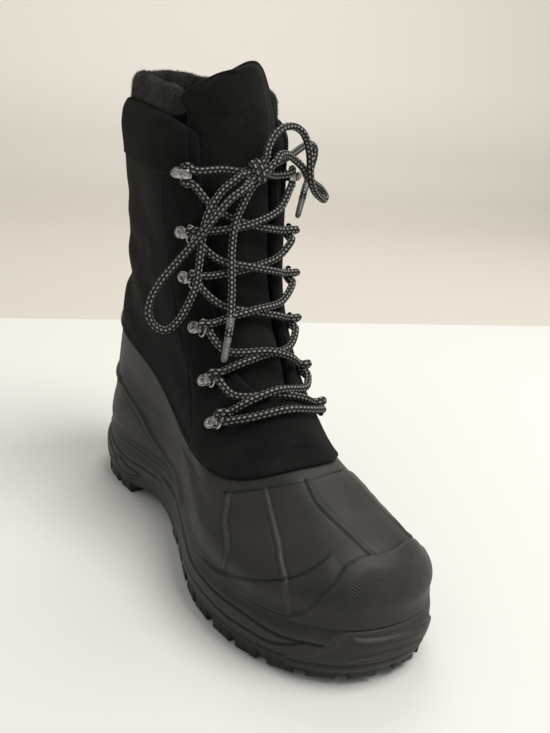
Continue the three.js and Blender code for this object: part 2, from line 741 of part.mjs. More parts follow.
addNode("lace_bar_bottom", bottomBar(), braid);
ringSeats.forEach((seat, level) => addNode(`lace_cross_${level + 1}`, crossing(level), braid));
addNode("lace_bar_top", topBar(), braid);
addNode("lace_knot", new THREE.SphereGeometry(1, 12, 8).scale(...knot.size).translate(...knot.at), braid);
for (const name of Object.keys(cordRoutes)) {
  addNode(name, cordTube(routePoints(name), cordSteps[name]), braid);
}
addNode("aglet_medial", agletSolid("lace_end_medial"), tag);
addNode("aglet_lateral", agletSolid("lace_end_lateral"), tag);

export default boot;
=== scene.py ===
# Laced winter pac boot, left foot: rubber foot shell, suede and nylon shaft, bow-tied cord laces.
# Tables are in millimetres. Meshes are made in metres, in the frame's own axes.
import math

import bmesh
import bpy
import numpy as np
from mathutils import Matrix, Vector


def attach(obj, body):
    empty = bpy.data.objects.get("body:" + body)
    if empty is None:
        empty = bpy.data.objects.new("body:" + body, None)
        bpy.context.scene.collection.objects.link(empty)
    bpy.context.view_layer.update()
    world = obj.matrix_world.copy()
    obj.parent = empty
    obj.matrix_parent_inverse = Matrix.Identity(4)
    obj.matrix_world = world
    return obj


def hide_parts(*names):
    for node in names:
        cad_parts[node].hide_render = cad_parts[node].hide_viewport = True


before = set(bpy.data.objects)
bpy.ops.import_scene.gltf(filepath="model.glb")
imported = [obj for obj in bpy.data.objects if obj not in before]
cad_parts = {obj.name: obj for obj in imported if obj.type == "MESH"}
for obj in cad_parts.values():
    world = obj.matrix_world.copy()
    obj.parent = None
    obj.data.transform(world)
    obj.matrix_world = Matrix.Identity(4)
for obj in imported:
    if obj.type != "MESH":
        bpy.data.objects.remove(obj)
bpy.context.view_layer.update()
mm = 0.001
print("frame loaded")

# ---- camera, floor and light

viewSet = {
    "place": (-228.7, -495.2, 257.3),  # where the boot is seen from
    "turn": (-18.74, 22.22, -0.2),  # direction to it: azimuth, elevation, roll
    "aim": (24.1, -77.5, 102.3),  # the middle of the picture
    "lens": 40.3,
}


def aimedRotation():
    azimuth, elevation, roll = (math.radians(v) for v in viewSet["turn"])
    back = Vector((
        math.sin(azimuth) * math.cos(elevation),
        -math.cos(azimuth) * math.cos(elevation),
        math.sin(elevation),
    ))
    right = Vector((0, 0, 1)).cross(back).normalized()
    up = back.cross(right)
    rolledRight = right * math.cos(roll) + up * math.sin(roll)
    rolledUp = up * math.cos(roll) - right * math.sin(roll)
    rotation = Matrix((rolledRight, rolledUp, back)).transposed().to_quaternion()
    toAim = (Vector(viewSet["place"]) - Vector(viewSet["aim"])).normalized()
    return back.rotation_difference(toAim) @ rotation


def makeCamera():
    data = bpy.data.cameras.new("camera")
    data.lens = viewSet["lens"]
    data.sensor_width = 36
    data.clip_start = 0.01
    camera = bpy.data.objects.new("camera", data)
    camera.rotation_mode = "QUATERNION"
    camera.rotation_quaternion = aimedRotation()
    camera.location = Vector(viewSet["place"]) * mm
    bpy.context.collection.objects.link(camera)
    bpy.context.scene.camera = camera


studio = {
    "floor": (0.78, 0.775, 0.745),
    "paper": [(0.0, (0.66, 0.625, 0.565)), (0.35, (0.93, 0.895, 0.83))],  # by height, in metres
    "sky": (1.0, 0.985, 0.96),
    "skyStrength": 0.45,
    "faces": (0.321, 0.947),  # plan direction from the camera to the backdrop
    "start": (0.286, 0.356),  # where the backdrop begins on the floor
    "sweep": [(0, 0.0001), (0.9, 0.0001), (1.15, 0.03), (1.35, 0.14), (1.45, 0.35), (1.5, 4)],
    "lamps": [  # name, place, size, watts, tint
        ("key", (0.6, -0.8, 1.85), 1.4, 31, (1.0, 0.98, 0.95)),
        ("fill", (-1.3, -0.5, 1.5), 1.2, 1.2, (0.95, 0.97, 1.0)),
        ("back", (0.7, 0.9, 1.6), 1.0, 9, (1.0, 0.98, 0.95)),
    ],
}


def plainMaterial(name, colour, roughness):
    material = bpy.data.materials.new(name)
    material.use_nodes = True
    shader = material.node_tree.nodes["Principled BSDF"]
    shader.inputs["Base Color"].default_value = (*colour, 1)
    shader.inputs["Roughness"].default_value = roughness
    return material


def makeSheet(name, points, faces, tint):
    mesh = bpy.data.meshes.new(name)
    mesh.from_pydata(points, [], faces)
    mesh.materials.append(plainMaterial(name, tint, 0.9))
    mesh.shade_smooth()
    sheet = bpy.data.objects.new(name, mesh)
    bpy.context.collection.objects.link(sheet)


# White floor, and a beige paper that starts behind the boot and sweeps up.
def makeStage():
    size = 5.0
    makeSheet("studioFloor", [(-size, -size, 0), (size, -size, 0), (size, size, 0), (-size, size, 0)],
              [(0, 1, 2, 3)], studio["floor"])
    ahead, start = np.array(studio["faces"]), np.array(studio["start"])
    aside = np.array((ahead[1], -ahead[0]))
    points = [
        (*(start + ahead * run + aside * side), rise)
        for run, rise in studio["sweep"] for side in (-4.0, 4.0)
    ]
    faces = [(i, i + 1, i + 3, i + 2) for i in range(0, len(points) - 2, 2)]
    makeSheet("studioBackdrop", points, faces, studio["paper"][0][1])
    tree = bpy.data.materials["studioBackdrop"].node_tree
    parts = tree.nodes.new("ShaderNodeSeparateXYZ")
    tree.links.new(tree.nodes.new("ShaderNodeTexCoord").outputs["Object"], parts.inputs[0])
    tint = tree.nodes.new("ShaderNodeValToRGB")
    for element, (height, colour) in zip(tint.color_ramp.elements, studio["paper"]):
        element.position, element.color = height, (*colour, 1)
    tree.links.new(parts.outputs["Z"], tint.inputs[0])
    tree.links.new(tint.outputs[0], tree.nodes["Principled BSDF"].inputs["Base Color"])
    world = bpy.data.worlds.new("softSky")
    world.use_nodes = True
    sky = world.node_tree.nodes["Background"]
    sky.inputs["Color"].default_value = (*studio["sky"], 1)
    sky.inputs["Strength"].default_value = studio["skyStrength"]
    bpy.context.scene.world = world
    for name, place, size, watts, tint in studio["lamps"]:
        data = bpy.data.lights.new(name, "AREA")
        data.shape = "DISK"
        data.size, data.energy, data.color = size, watts, tint
        lamp = bpy.data.objects.new(name, data)
        lamp.location = place
        lamp.rotation_mode = "QUATERNION"
        lamp.rotation_quaternion = (Vector(place) - Vector((0, -0.08, 0.12))).to_track_quat("Z", "Y")
        bpy.context.collection.objects.link(lamp)


makeCamera()
makeStage()
bpy.context.scene.view_settings.view_transform = "Standard"
print("camera, floor and light set")

# ---- the last: the same girths as the CAD upper

stations = [0, 36, 64, 98, 140, 180]  # degrees from the toe: corner, ball, waist, heel, back
outerShares = [0, 0.7, 1, 0.5, 0, 0]
bendAt, bendX = [-245, -200, -155, -70, 0, 70], [-4, -5, -4.5, 1, 0, 0]
girthColumns = [
    "front", "back", "lean", "corner", "ball", "waist", "heel",
    "zToe", "zCorner", "zBall", "zWaist", "zBack", "blunt", "outer",
]
girths = {
    "feather": [-243.5, 66, 0, 43.5, 54.5, 40, 42, 31, 31, 31, 35, 32, 0.85, 0.97],
    "bulge": [-245.5, 67.5, 0, 45, 55.5, 40.5, 43, 43, 41, 40, 44, 43, 0.85, 0.965],
    "toeEdge": [-240.5, 66.5, 0, 44.5, 54.5, 40, 42, 54, 48, 46, 51, 54, 0.85, 0.84],
    "toeTop": [-226, 65, 0, 43, 52, 39, 40, 64, 54, 50, 57, 63, 0.82, 0.82],
    "vampLow": [-204, 64, 0, 42, 48, 38.5, 38.5, 70, 58, 54.5, 63, 73, 0.8, 0.84],
    "vampHigh": [-182, 63, 0, 42, 45, 38, 37, 76, 61, 58, 68, 82, 0.74, 0.87],
    "seam": [-163, 62, 0, 41, 42, 38, 35.5, 79, 63, 63, 76, 91, 0.66, 0.89],
    "apron": [-141, 58, 0, 35, 39, 37, 34, 90, 75, 82, 97, 112, 0.7, 0.97],
    "instep": [-108, 52, 1, 30, 35.5, 36, 32, 112, 100, 106, 122, 138, 0.75, 1],
    "ankle": [-81, 46, 2, 28, 35.5, 36, 31, 142, 137, 139, 150, 164, 0.75, 1],
    "calfLow": [-67, 48, 3, 30, 38, 38, 32.5, 182, 181, 182, 187, 196, 0.75, 1],
    "calfHigh": [-62, 51, 3, 31, 40, 41, 34, 220, 220, 221, 225, 231, 0.75, 1],
    "collar": [-60, 51, 3, 30.5, 40, 41, 33.5, 250, 251, 253, 257, 261, 0.75, 1],
}
girthRows = [dict(zip(girthColumns, row)) for row in girths.values()]
seamRow = 6  # where the rubber ends and the cloth is sewn on
gap = 0.3  # between the shell and the sole


# Value at x of a smooth line through the values.
def smoothThrough(at, values, x):
    at, values, x = np.asarray(at, float), np.asarray(values, float), np.asarray(x, float)
    slope = np.zeros(len(at))
    slope[1:-1] = (values[2:] - values[:-2]) / (at[2:] - at[:-2])
    i = np.clip(np.searchsorted(at, x, side="left") - 1, 0, len(at) - 2)
    h = at[i + 1] - at[i]
    t = np.clip((x - at[i]) / h, 0, 1)
    a = 2 * t**3 - 3 * t**2 + 1
    b = t**3 - 2 * t**2 + t
    c = t**3 - t**2
    return a * values[i] + b * h * slope[i] + (1 - a) * values[i + 1] + c * h * slope[i + 1]


def smoothStep(low, high, x):
    t = np.clip((np.asarray(x, float) - low) / (high - low), 0, 1)
    return t * t * (3 - 2 * t)


# Degrees from the toe, negative on the medial side.
def signedDegrees(deg):
    return np.where(deg > 180, deg - 360, deg)


def walkedAlong(points):
    return np.concatenate([[0], np.cumsum(np.linalg.norm(np.diff(points, axis=0), axis=1))])


# Height of a rounded ridge or groove at a distance from its line: one on the line.
def crest(distance, width):
    return np.exp(-((distance / width) ** 2))


# The last's middle line, which bends inward towards the toe.
def middle(y):
    return smoothThrough(bendAt, bendX, y)


# Points round one girth.
def girthLine(g, deg):
    turn = np.mod(deg, 360.0)
    side = np.where(turn > 180, -1.0, 1.0)
    d = np.where(turn > 180, 360 - turn, turn)
    rad = np.radians(d)
    full = [
        g[name] / math.sin(math.radians(stations[i + 1])) ** g["blunt"]
        for i, name in enumerate(["corner", "ball", "waist", "heel"])
    ]
    forward = (1 + np.cos(rad)) / 2
    outerPart = 1 + (g["outer"] - 1) * smoothThrough(stations, outerShares, d)
    half = smoothThrough(stations, [full[0], *full, full[3]], d)
    half = half * np.abs(np.sin(rad)) ** g["blunt"] * np.where(side > 0, outerPart, 1)
    y = g["back"] + (g["front"] - g["back"]) * forward
    zHeel = g["zWaist"] + (g["zBack"] - g["zWaist"]) * 0.62
    heights = [g["zToe"], g["zCorner"], g["zBall"], g["zWaist"], zHeel, g["zBack"]]
    z = smoothThrough(stations, heights, d)
    return np.stack([middle(y) + g["lean"] + side * half, y, z], axis=-1)


# Points of the upper's outer surface; row and deg are arrays of one shape, or numbers.
def upperPoint(row, deg):
    row, deg = np.broadcast_arrays(np.asarray(row, float), np.asarray(deg, float))
    shape = row.shape
    row, deg = row.ravel(), deg.ravel()
    lines = np.stack([girthLine(g, deg) for g in girthRows])
    last = len(girthRows) - 1
    i = np.clip(np.floor(np.maximum(row, 0)).astype(int), 0, last - 1)
    t = (row - i)[:, None]
    n = np.arange(len(row))
    p = [lines[np.clip(i + k, 0, last), n] for k in (-1, 0, 1, 2)]
    p[0] = np.where((i == 0)[:, None], 2 * p[1] - p[2], p[0])
    p[3] = np.where((i == last - 1)[:, None], 2 * p[2] - p[1], p[3])
    made = 0.5 * (
        2 * p[1]
        + (p[2] - p[0]) * t
        + (2 * p[0] - 5 * p[1] + 4 * p[2] - p[3]) * t**2
        + (3 * p[1] - p[0] - 3 * p[2] + p[3]) * t**3
    )
    return made.reshape(*shape, 3)


def unit(v):
    v = np.asarray(v, float)
    return v / np.maximum(np.linalg.norm(v, axis=-1, keepdims=True), 1e-9)


def upperNormal(row, deg):
    row, deg = np.asarray(row, float), np.asarray(deg, float)
    alongRow = upperPoint(row + 0.05, deg) - upperPoint(row - 0.05, deg)
    alongDeg = upperPoint(row, deg + 1) - upperPoint(row, deg - 1)
    return unit(np.cross(alongDeg, alongRow))


def upperOffset(row, deg, out):  # out is the distance from the upper's surface
    row = np.asarray(row, float)
    normalRow = np.where(np.abs(row - seamRow) < 0.1, seamRow, row)
    return upperPoint(row, deg) + upperNormal(normalRow, deg) * np.asarray(out, float)[..., None]


# Degrees spread evenly along a girth, finer where weight is above one.
def evenDegrees(row, count, start=0.0, end=360.0, weight=lambda deg: np.ones_like(deg)):
    fine = np.linspace(start, end, 2881)
    step = np.linalg.norm(np.diff(upperPoint(np.full(fine.shape, row), fine), axis=0), axis=1)
    walked = np.concatenate([[0], np.cumsum(step * weight((fine[1:] + fine[:-1]) / 2))])
    closed = end - start >= 360
    share = np.linspace(0, walked[-1], count + 1)[:-1] if closed else np.linspace(0, walked[-1], count)
    return np.interp(share, walked, fine)


# ---- mesh helpers


def addMesh(name, points, faces, material, slotName, replaced=()):
    mesh = bpy.data.meshes.new(name)
    mesh.from_pydata((np.asarray(points, float) * mm).tolist(), [], faces)
    mesh.validate()
    mesh.update()
    piece = bpy.data.objects.new(name, mesh)
    bpy.context.collection.objects.link(piece)
    mesh.materials.append(material)
    mesh.shade_smooth()
    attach(piece, "root")
    if replaced:
        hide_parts(*replaced)
    return piece


# Several parts, each as points and faces, in one list of points and one of faces.
def joinParts(parts):
    points, faces, total = [], [], 0
    for partPoints, partFaces in parts:
        points.append(partPoints)
        faces += [[total + corner for corner in face] for face in partFaces]
        total += len(partPoints)
    return np.vstack(points), faces


def loopFace(start, count):
    return list(range(start, start + count))


# Quads between the rows of a grid of points numbered row by row.
def gridFaces(rows, columns, wrapColumns=False, wrapRows=False):
    r = np.arange(rows if wrapRows else rows - 1)
    c = np.arange(columns if wrapColumns else columns - 1)
    r, c = np.meshgrid(r, c, indexing="ij")
    nextR, nextC = (r + 1) % rows, (c + 1) % columns
    low, high = r * columns, nextR * columns
    return np.stack([low + c, low + nextC, high + nextC, high + c], -1).reshape(-1, 4).tolist()


# Joins points nearer than weld and turns the faces outwards.
def cleanMesh(piece, weld=0.0):
    work = bmesh.new()
    work.from_mesh(piece.data)
    if weld:
        bmesh.ops.remove_doubles(work, verts=work.verts, dist=weld * mm)
    bmesh.ops.recalc_face_normals(work, faces=work.faces)
    work.to_mesh(piece.data)
    work.free()


def setAttribute(piece, name, values):
    attribute = piece.data.attributes.new(name, "FLOAT", "POINT")
    attribute.data.foreach_set("value", np.asarray(values, np.float32).ravel())


def faceCorners(piece):
    corner = np.zeros(len(piece.data.loops), np.int32)
    piece.data.loops.foreach_get("vertex_index", corner)
    return corner


def storePlace(piece, along, across):
    layer = piece.data.uv_layers.new(name="place")
    layer.data.foreach_set("uv", np.stack([along, across], -1).astype(np.float32).ravel())


# A flat place in millimetres for each vertex, for patterns that follow the surface.
def setPlace(piece, along, across):
    corner = faceCorners(piece)
    storePlace(piece, np.ravel(along)[corner], np.ravel(across)[corner])


# Least distance from each point to a line of points, in millimetres.
def distanceTo(points, line):
    best = np.full(len(points), 1e9)
    for a, b in zip(line[:-1], line[1:]):
        along = b - a
        t = np.clip(((points - a) @ along) / max(along @ along, 1e-9), 0, 1)
        best = np.minimum(best, np.linalg.norm(points - a - t[:, None] * along, axis=1))
    return best


# Rows walked along a line of places, with twelve degrees counted as one row.
def rowsWalked(places):
    return walkedAlong(places * (1, 1 / 12))


# Points along a smooth line through places on a surface.
def lineOn(places, step=0.06, surface=upperPoint):
    places = np.asarray(places, float)
    length = rowsWalked(places)
    at = np.linspace(0, length[-1], max(int(length[-1] / step), 4))
    return surface(smoothThrough(length, places[:, 0], at), smoothThrough(length, places[:, 1], at))


# The far side has the same feature at the same distance from the toe.
def twoSided(places):
    return places, [(row, -deg) for row, deg in places]


def nearBoth(points, places, step=0.06, surface=upperPoint):
    return np.minimum(*(distanceTo(points, lineOn(line, step, surface)) for line in twoSided(places)))


# A smooth line of points through the given ones, evenly spaced.
def throughPoints(points, spacing, closed=False):
    points = np.asarray(points, float)
    if closed:
        points = np.vstack([points[-1:], points, points[:2]])
    else:
        points = np.vstack([2 * points[0] - points[1], points, 2 * points[-1] - points[-2]])
    made = []
    for p0, p1, p2, p3 in zip(points[:-3], points[1:-2], points[2:-1], points[3:]):
        d = [max(np.linalg.norm(b - a), 1e-6) ** 0.5 for a, b in ((p0, p1), (p1, p2), (p2, p3))]
        m1 = (p2 - p1) + d[1] * ((p1 - p0) / d[0] - (p2 - p0) / (d[0] + d[1]))
        m2 = (p2 - p1) + d[1] * ((p3 - p2) / d[2] - (p3 - p1) / (d[1] + d[2]))
        for t in np.linspace(0, 1, 24, endpoint=False):
            made.append(
                (2 * t**3 - 3 * t**2 + 1) * p1 + (t**3 - 2 * t**2 + t) * m1
                + (3 * t**2 - 2 * t**3) * p2 + (t**3 - t**2) * m2
            )
    made = np.array([*made, made[0] if closed else points[-2]])
    walked = walkedAlong(made)
    count = max(int(round(walked[-1] / spacing)), 4)
    share = np.linspace(0, walked[-1], count + 1)[:-1 if closed else None]
    return np.stack([np.interp(share, walked, made[:, k]) for k in range(3)], -1)


# Directions across a line that turn as little as possible along it.
def framesAlong(line, closed=False):
    ahead = np.roll(line, -1, 0) - np.roll(line, 1, 0)
    if not closed:
        ahead[0], ahead[-1] = line[1] - line[0], line[-1] - line[-2]
    ahead = unit(ahead)
    side = np.cross(ahead[0], [0, 0, 1] if abs(ahead[0][2]) < 0.9 else [0, 1, 0])
    sides = []
    for tangent in ahead:
        side = side - tangent * (side @ tangent)
        side = side / np.linalg.norm(side)
        sides.append(side)
    return np.array(sides), np.cross(ahead, sides)


# Tube round a line, as points and faces; its ends are closed.
def tubeParts(line, radius, around=14, closed=False):
    sides, ups = framesAlong(line, closed)
    radius = np.broadcast_to(np.asarray(radius, float), (len(line),))
    angle = np.linspace(0, 2 * math.pi, around, endpoint=False)
    ring = np.cos(angle)[None, :, None] * sides[:, None] + np.sin(angle)[None, :, None] * ups[:, None]
    points = line[:, None] + ring * radius[:, None, None]
    faces = gridFaces(len(line), around, wrapColumns=True, wrapRows=closed)
    if not closed:
        faces += [loopFace(0, around)[::-1], loopFace((len(line) - 1) * around, around)]
    return points.reshape(-1, 3), faces


# A length-and-round map for tubes. Where a face closes the round, its share runs past one.
def setTubePlace(piece, around, walked):
    corner = faceCorners(piece)
    totals = np.zeros(len(piece.data.polygons), np.int32)
    piece.data.polygons.foreach_get("loop_total", totals)
    share = (corner % around) / around
    faceOf = np.repeat(np.arange(len(totals)), totals)
    highest = np.zeros(len(totals))
    np.maximum.at(highest, faceOf, share)
    lowSide = (share < 0.25) & (highest[faceOf] > 0.75) & (totals[faceOf] == 4)
    storePlace(piece, walked[corner], share + lowSide)


# ---- materials


def newFinish(name, colour, roughness, specular=0.5, metallic=0.0):
    material = plainMaterial(name, colour, roughness)
    tree = material.node_tree
    shader = tree.nodes["Principled BSDF"]
    shader.inputs["Specular IOR Level"].default_value = specular
    shader.inputs["Metallic"].default_value = metallic
    return material, tree, shader


def addSheen(shader, weight, roughness):
    shader.inputs["Sheen Weight"].default_value = weight
    shader.inputs["Sheen Roughness"].default_value = roughness


def addNode(tree, kind, inputs=(), **settings):
    made = tree.nodes.new("ShaderNode" + kind)
    for name, value in settings.items():
        setattr(made, name, value)
    for label, value in dict(inputs).items():
        if isinstance(value, bpy.types.NodeSocket):
            tree.links.new(value, made.inputs[label])
        else:
            made.inputs[label].default_value = value
    return made


def calc(tree, operation, a, b=0.0, c=0.0):
    return addNode(tree, "Math", {0: a, 1: b, 2: c}, operation=operation).outputs[0]


def times(tree, a, b):
    return calc(tree, "MULTIPLY", a, b)


def plus(tree, a, b):
    return calc(tree, "ADD", a, b)


def ramp(tree, factor, stops):
    made = addNode(tree, "ValToRGB", {"Fac": factor})
    elements = made.color_ramp.elements
    while len(elements) < len(stops):
        elements.new(0.5)
    for element, (at, colour) in zip(elements, stops):
        element.position = at
        element.color = (*colour, 1)
    return made.outputs["Color"]


def blendColour(tree, share, a, b):
    made = addNode(tree, "Mix", data_type="RGBA")
    for index, value in ((0, share), (6, a), (7, b)):
        if isinstance(value, bpy.types.NodeSocket):
            tree.links.new(value, made.inputs[index])
        elif index == 0:
            made.inputs[0].default_value = value
        else:
            made.inputs[index].default_value = (*value, 1)
    return made.outputs[2]


def cloud(tree, scale, detail=4.0, rough=0.55):
    where = addNode(tree, "TexCoord").outputs["Object"]
    settings = {"Vector": where, "Scale": scale, "Detail": detail, "Roughness": rough}
    return addNode(tree, "TexNoise", settings).outputs["Fac"]


def attribute(tree, name):
    return addNode(tree, "Attribute", attribute_name=name).outputs["Fac"]


def place(tree):
    made = addNode(tree, "UVMap", uv_map="place")
    parts = addNode(tree, "SeparateXYZ", {0: made.outputs[0]})
    return parts.outputs[0], parts.outputs[1]


def addBump(tree, shader, height, distance, strength=1.0):
    bump = addNode(tree, "Bump", {"Height": height, "Distance": distance, "Strength": strength})
    tree.links.new(bump.outputs[0], shader.inputs["Normal"])


rubberLook = {
    "dark": (0.0115, 0.0115, 0.0108),
    "pale": (0.0265, 0.0242, 0.0208),
    "worn": (0.05, 0.047, 0.041),  # for dust specks and rubbed scuffs, and as painted highlight along raised edges
    # painted shade for the grooves, near black
    "grooveShade": (0.004, 0.004, 0.004),
    "roughness": (0.43, 0.6),
    "hatchPitch": 1.9,
}


def makeRubber():
    material, tree, shader = newFinish("mouldedRubber", rubberLook["dark"], 0.5, specular=0.32)
    broad = cloud(tree, 14, 5)
    fine = cloud(tree, 900, 2, 0.6)
    base = ramp(tree, broad, [(0.32, rubberLook["dark"]), (0.7, rubberLook["pale"])])
    # Raised edges and lines beside the grooves are lightened in noisy patches, partly rubbed wear and partly
    # painted highlight.
    scuffAndHighlight = times(tree, attribute(tree, "proud"), cloud(tree, 160, 4, 0.7))
    base = blendColour(tree, scuffAndHighlight, base, rubberLook["worn"])
    # Painted shade: the grooves are darkened towards near black.
    base = blendColour(tree, times(tree, attribute(tree, "grooveShade"), 0.9), base, rubberLook["grooveShade"])
    dust = ramp(tree, cloud(tree, 55, 6, 0.7), [(0.52, (0, 0, 0)), (0.78, (1, 1, 1))])
    base = blendColour(tree, times(tree, dust, 0.22), base, rubberLook["worn"])
    tree.links.new(base, shader.inputs["Base Color"])
    low, high = rubberLook["roughness"]
    rough = calc(tree, "MULTIPLY_ADD", cloud(tree, 70, 4), high - low, low)
    tree.links.new(rough, shader.inputs["Roughness"])
    along, across = place(tree)
    turn = 2 * math.pi / rubberLook["hatchPitch"]
    lines = [
        calc(tree, "SINE", times(tree, calc(tree, way, along, across), turn))
        for way in ("ADD", "SUBTRACT")
    ]
    hatch = times(tree, calc(tree, "MAXIMUM", *lines), attribute(tree, "hatch"))
    height = plus(tree, times(tree, hatch, 0.42), times(tree, fine, 0.12))
    addBump(tree, shader, height, 0.0006, 0.8)
    return material


clothLook = {
    "suede": (0.0042, 0.0043, 0.0043),
    "suedePale": (0.014, 0.0137, 0.013),
    "nylon": (0.0048, 0.005, 0.0053),
    "nylonPale": (0.0088, 0.0091, 0.0095),
    "lint": (0.06, 0.06, 0.057),
    "weavePitch": 0.85,
}


# Suede and nylon in one: the attribute "suede" says which.
def makeShaftCloth():
    material, tree, shader = newFinish("suedeAndNylon", clothLook["suede"], 0.95, specular=0.06)
    addSheen(shader, 0.03, 0.5)
    edge = calc(tree, "MULTIPLY_ADD", cloud(tree, 700, 3), 0.12, attribute(tree, "suede"))
    isSuede = ramp(tree, edge, [(0.52, (0, 0, 0)), (0.6, (1, 1, 1))])
    nap = cloud(tree, 38, 6, 0.68)
    suede = ramp(tree, nap, [(0.3, clothLook["suede"]), (0.72, clothLook["suedePale"])])
    lint = ramp(tree, cloud(tree, 620, 2, 0.5), [(0.7, (0, 0, 0)), (0.76, (1, 1, 1))])
    suede = blendColour(tree, times(tree, lint, 0.35), suede, clothLook["lint"])
    along, across = place(tree)
    turn = 2 * math.pi / clothLook["weavePitch"]
    warp = calc(tree, "SINE", times(tree, along, turn))
    weft = calc(tree, "SINE", times(tree, across, turn))
    weave = times(tree, warp, weft)
    mixed = calc(tree, "MULTIPLY_ADD", cloud(tree, 30, 4), 0.8, times(tree, weave, 0.12))
    nylon = ramp(tree, mixed, [(0.2, clothLook["nylon"]), (0.65, clothLook["nylonPale"])])
    tree.links.new(blendColour(tree, isSuede, nylon, suede), shader.inputs["Base Color"])
    rough = calc(tree, "MULTIPLY_ADD", isSuede, 0.3, 0.66)
    tree.links.new(rough, shader.inputs["Roughness"])
    fuzz = plus(tree, cloud(tree, 1500, 3, 0.7), times(tree, cloud(tree, 260, 4), 0.8))
    suedeHeight = times(tree, fuzz, isSuede)
    weaveDepth = calc(tree, "SUBTRACT", 0.35, times(tree, isSuede, 0.35))
    nylonHeight = times(tree, weave, weaveDepth)
    addBump(tree, shader, plus(tree, suedeHeight, nylonHeight), 0.0005, 0.85)
    return material


# Soft brushed cloth of one colour with a woolly bump.
def makeBrushed(name, dark, pale, scale, bump, sheen=0.05):
    material, tree, shader = newFinish(name, dark, 0.97, specular=0.08)
    addSheen(shader, sheen, 0.45)
    pile = cloud(tree, scale, 5, 0.7)
    broad = cloud(tree, 26, 4)
    mixed = calc(tree, "MULTIPLY_ADD", pile, 0.6, times(tree, broad, 0.4))
    tree.links.new(ramp(tree, mixed, [(0.38, dark), (0.64, pale)]), shader.inputs["Base Color"])
    addBump(tree, shader, plus(tree, pile, cloud(tree, scale * 3, 3)), bump)
    return material


metalLook = {"bright": (0.52, 0.51, 0.5), "dull": (0.11, 0.108, 0.105), "roughness": (0.12, 0.3)}


def makeMetal():
    material, tree, shader = newFinish("nickelSteel", metalLook["bright"], 0.28, metallic=1.0)
    worn = cloud(tree, 420, 5, 0.65)
    colour = ramp(tree, worn, [(0.35, metalLook["dull"]), (0.6, metalLook["bright"])])
    tree.links.new(colour, shader.inputs["Base Color"])
    low, high = metalLook["roughness"]
    tree.links.new(calc(tree, "MULTIPLY_ADD", worn, high - low, low), shader.inputs["Roughness"])
    addBump(tree, shader, cloud(tree, 1300, 2), 0.00012, 0.6)
    return material


braidLook = {
    "black": (0.011, 0.011, 0.0105),
    "fleck": (0.29, 0.28, 0.26),
    "rows": 6,  # rows of flecks round the cord
    "period": 2.9,
    "dash": 0.31,
    "width": 0.27,
}


# Black braid with rows of light flecks, set half a step apart.
def makeBraid():
    material, tree, shader = newFinish("fleckedBraid", braidLook["black"], 0.8, specular=0.3)
    along, share = place(tree)
    rows = times(tree, share, braidLook["rows"])
    odd = times(tree, calc(tree, "MODULO", calc(tree, "FLOOR", rows), 2.0), 0.5)
    steps = plus(tree, calc(tree, "DIVIDE", along, braidLook["period"]), odd)
    inStep = calc(tree, "SUBTRACT", calc(tree, "FRACT", steps), 0.5)
    inRow = calc(tree, "SUBTRACT", calc(tree, "FRACT", rows), 0.5)
    # Each fleck is a rounded dash.
    lengthShare, widthShare = (
        calc(tree, "ABSOLUTE", calc(tree, "DIVIDE", offset, braidLook[size]))
        for offset, size in ((inStep, "dash"), (inRow, "width"))
    )
    outside = plus(tree, calc(tree, "POWER", lengthShare, 2.5), calc(tree, "POWER", widthShare, 2.5))
    fleck = ramp(tree, outside, [(0.75, (1, 1, 1)), (1.0, (0, 0, 0))])
    grain = cloud(tree, 1400, 3)
    shaded = tuple(v * 0.6 for v in braidLook["fleck"])
    thread = ramp(tree, grain, [(0.3, shaded), (0.6, braidLook["fleck"])])
    tree.links.new(blendColour(tree, fleck, braidLook["black"], thread), shader.inputs["Base Color"])
    turn = math.pi * 2
    ply = [
        calc(tree, "SINE", times(tree, calc(tree, way, steps, rows), turn))
        for way in ("ADD", "SUBTRACT")
    ]
    plyHeight = times(tree, calc(tree, "MAXIMUM", *ply), 0.5)
    addBump(tree, shader, plus(tree, plyHeight, times(tree, fleck, 0.7)), 0.0003, 0.7)
    return material


# Crimped sheath of a lace tag, with fine ribs.
def makeTagPlastic():
    material, tree, shader = newFinish("tagPlastic", (0.10, 0.098, 0.094), 0.3, specular=0.6)
    along, _ = place(tree)
    ribs = calc(tree, "SINE", times(tree, along, 2.6))
    shade = ramp(tree, cloud(tree, 300, 4), [(0.3, (0.07, 0.069, 0.066)), (0.7, (0.17, 0.166, 0.158))])
    tree.links.new(shade, shader.inputs["Base Color"])
    addBump(tree, shader, ribs, 0.0001, 0.5)
    return material


def makeThread():
    material, tree, shader = newFinish("stitchThread", (0.014, 0.014, 0.0135), 0.7, specular=0.25)
    shade = ramp(tree, cloud(tree, 900, 3), [(0.3, (0.009, 0.009, 0.0086)), (0.7, (0.024, 0.0235, 0.0225))])
    tree.links.new(shade, shader.inputs["Base Color"])
    addBump(tree, shader, cloud(tree, 2600, 2), 0.0001)
    return material


rubber = makeRubber()
shaftCloth = makeShaftCloth()
tongueCloth = makeBrushed("brushedTongue", (0.006, 0.0061, 0.0055), (0.016, 0.016, 0.0143), 620, 0.0005)
pipingCloth = makeBrushed("tonguePiping", (0.007, 0.007, 0.0065), (0.016, 0.0157, 0.0145), 900, 0.0004)
fleeceCloth = makeBrushed("fleece", (0.010, 0.0098, 0.0086), (0.042, 0.040, 0.034), 330, 0.0012, 0.12)
feltCloth = makeBrushed("felt", (0.02, 0.02, 0.021), (0.05, 0.05, 0.052), 480, 0.0006)
nickel = makeMetal()
braid = makeBraid()
tagPlastic = makeTagPlastic()
thread = makeThread()
print("materials made")

# ---- lace hardware places

